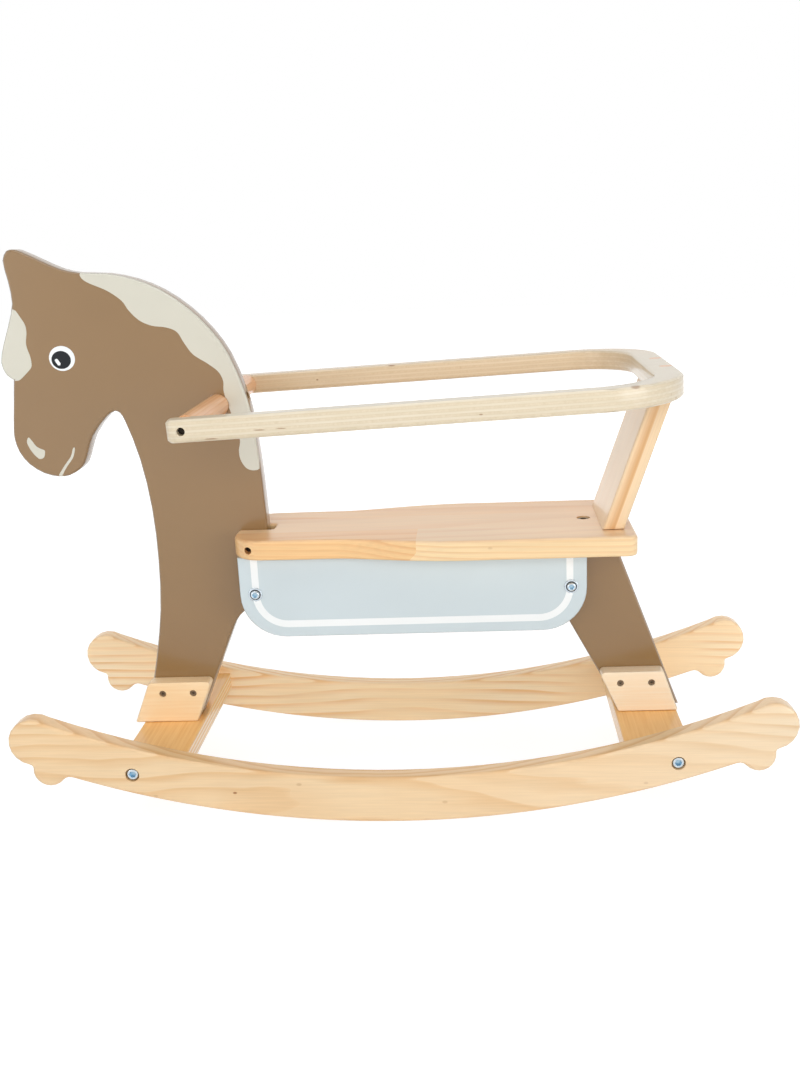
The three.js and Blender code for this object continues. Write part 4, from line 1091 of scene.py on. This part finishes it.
# %% [markdown]
# ## Turned bolts
#
# The bolt heads that face out are small but bright, so they get the shape of real ones: a chamfer
# round the cap, a hex socket with a bevelled mouth, and on the saddle's bolts a domed head in a
# groove on a thin flange. Such a head is a profile turned about the bolt's axis, in which some rings
# are six-sided instead of round.

# %% Bolt profiles
METALS = [bright_zinc, shaded_socket, black_for_shade]
# The socket and the groove take the darker metals, as painted shade in those hollows.
PLATED, SOCKET, GROOVE = range(3)
ROUND, HEX = 0, 6
# A stretch of a profile: sides, metal, and its corners' radius and depth in millimetres.
CAP_BOLT = [
    (HEX, SOCKET, ((0.0, 2.75), (2.5, 2.75), (2.5, 0.35), (2.85, 0.0))),
    (ROUND, PLATED, ((4.2, 0.0), (4.75, 0.25), (5.0, 0.8), (5.0, 5.5), (3.0, 5.5))),
]
SADDLE_BOLT = [
    (HEX, SOCKET, ((0.0, 2.0), (2.0, 2.0), (2.0, 0.25), (2.3, 0.0))),
    (ROUND, PLATED, ((3.0, 0.05), (3.6, 0.4), (4.0, 1.0), (4.1, 1.7), (4.1, 2.5))),
    (ROUND, GROOVE, ((4.8, 2.5), (4.9, 2.0))),
    (ROUND, PLATED, ((5.9, 2.0), (6.2, 2.15), (6.3, 2.5), (6.3, 3.2), (3.0, 3.2))),
]


def profile_rings(head, length):
    """The rings of a bolt: its head's, and those of a 6 mm shank with a chamfered end."""
    shank = (ROUND, PLATED, ((3.0, length - 0.5), (2.5, length), (0.0, length)))
    return [(r, depth, sides, metal) for sides, metal, corners in [*head, shank] for r, depth in corners]


# %% Turning
def turned_bolt(name, head, inwards, steps=48):
    """A bolt turned about the axis of the CAD node's box. inwards is 1 or -1 along Y."""
    low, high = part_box(name)
    start = low.y if inwards > 0 else high.y
    rings = profile_rings(head, (high.y - low.y) / MM)
    points = []
    for radius, depth, sides, _ in rings:
        for k in range(steps):
            turn = 2 * math.pi * k / steps
            reach = radius
            if sides:
                # The distance to a polygon's side, which lies nearer than the circle it is drawn round.
                reach = radius / math.cos((turn % (2 * math.pi / sides)) - math.pi / sides)
            x = (low.x + high.x) / 2 + reach * MM * math.cos(turn)
            z = (low.z + high.z) / 2 + reach * MM * math.sin(turn)
            points.append((x, start + inwards * depth * MM, z))
    solid = bmesh.new()
    corners = [solid.verts.new(p) for p in points]
    for ring in range(len(rings) - 1):
        for k in range(steps):
            a, b = ring * steps + k, ring * steps + (k + 1) % steps
            face = solid.faces.new([corners[i] for i in (a, b, b + steps, a + steps)])
            face.material_index = rings[ring + 1][3]
    bmesh.ops.remove_doubles(solid, verts=solid.verts, dist=0.001 * MM)
    bmesh.ops.recalc_face_normals(solid, faces=solid.faces)
    shade(stand_in(solid, "turned_" + name, name, METALS))


for name in list(nodes):
    if name.startswith("rocker_bolt"):
        turned_bolt(name, CAP_BOLT, 1 if name.endswith("left") else -1)
    if name.startswith("saddle_bolt"):
        turned_bolt(name, SADDLE_BOLT, 1)
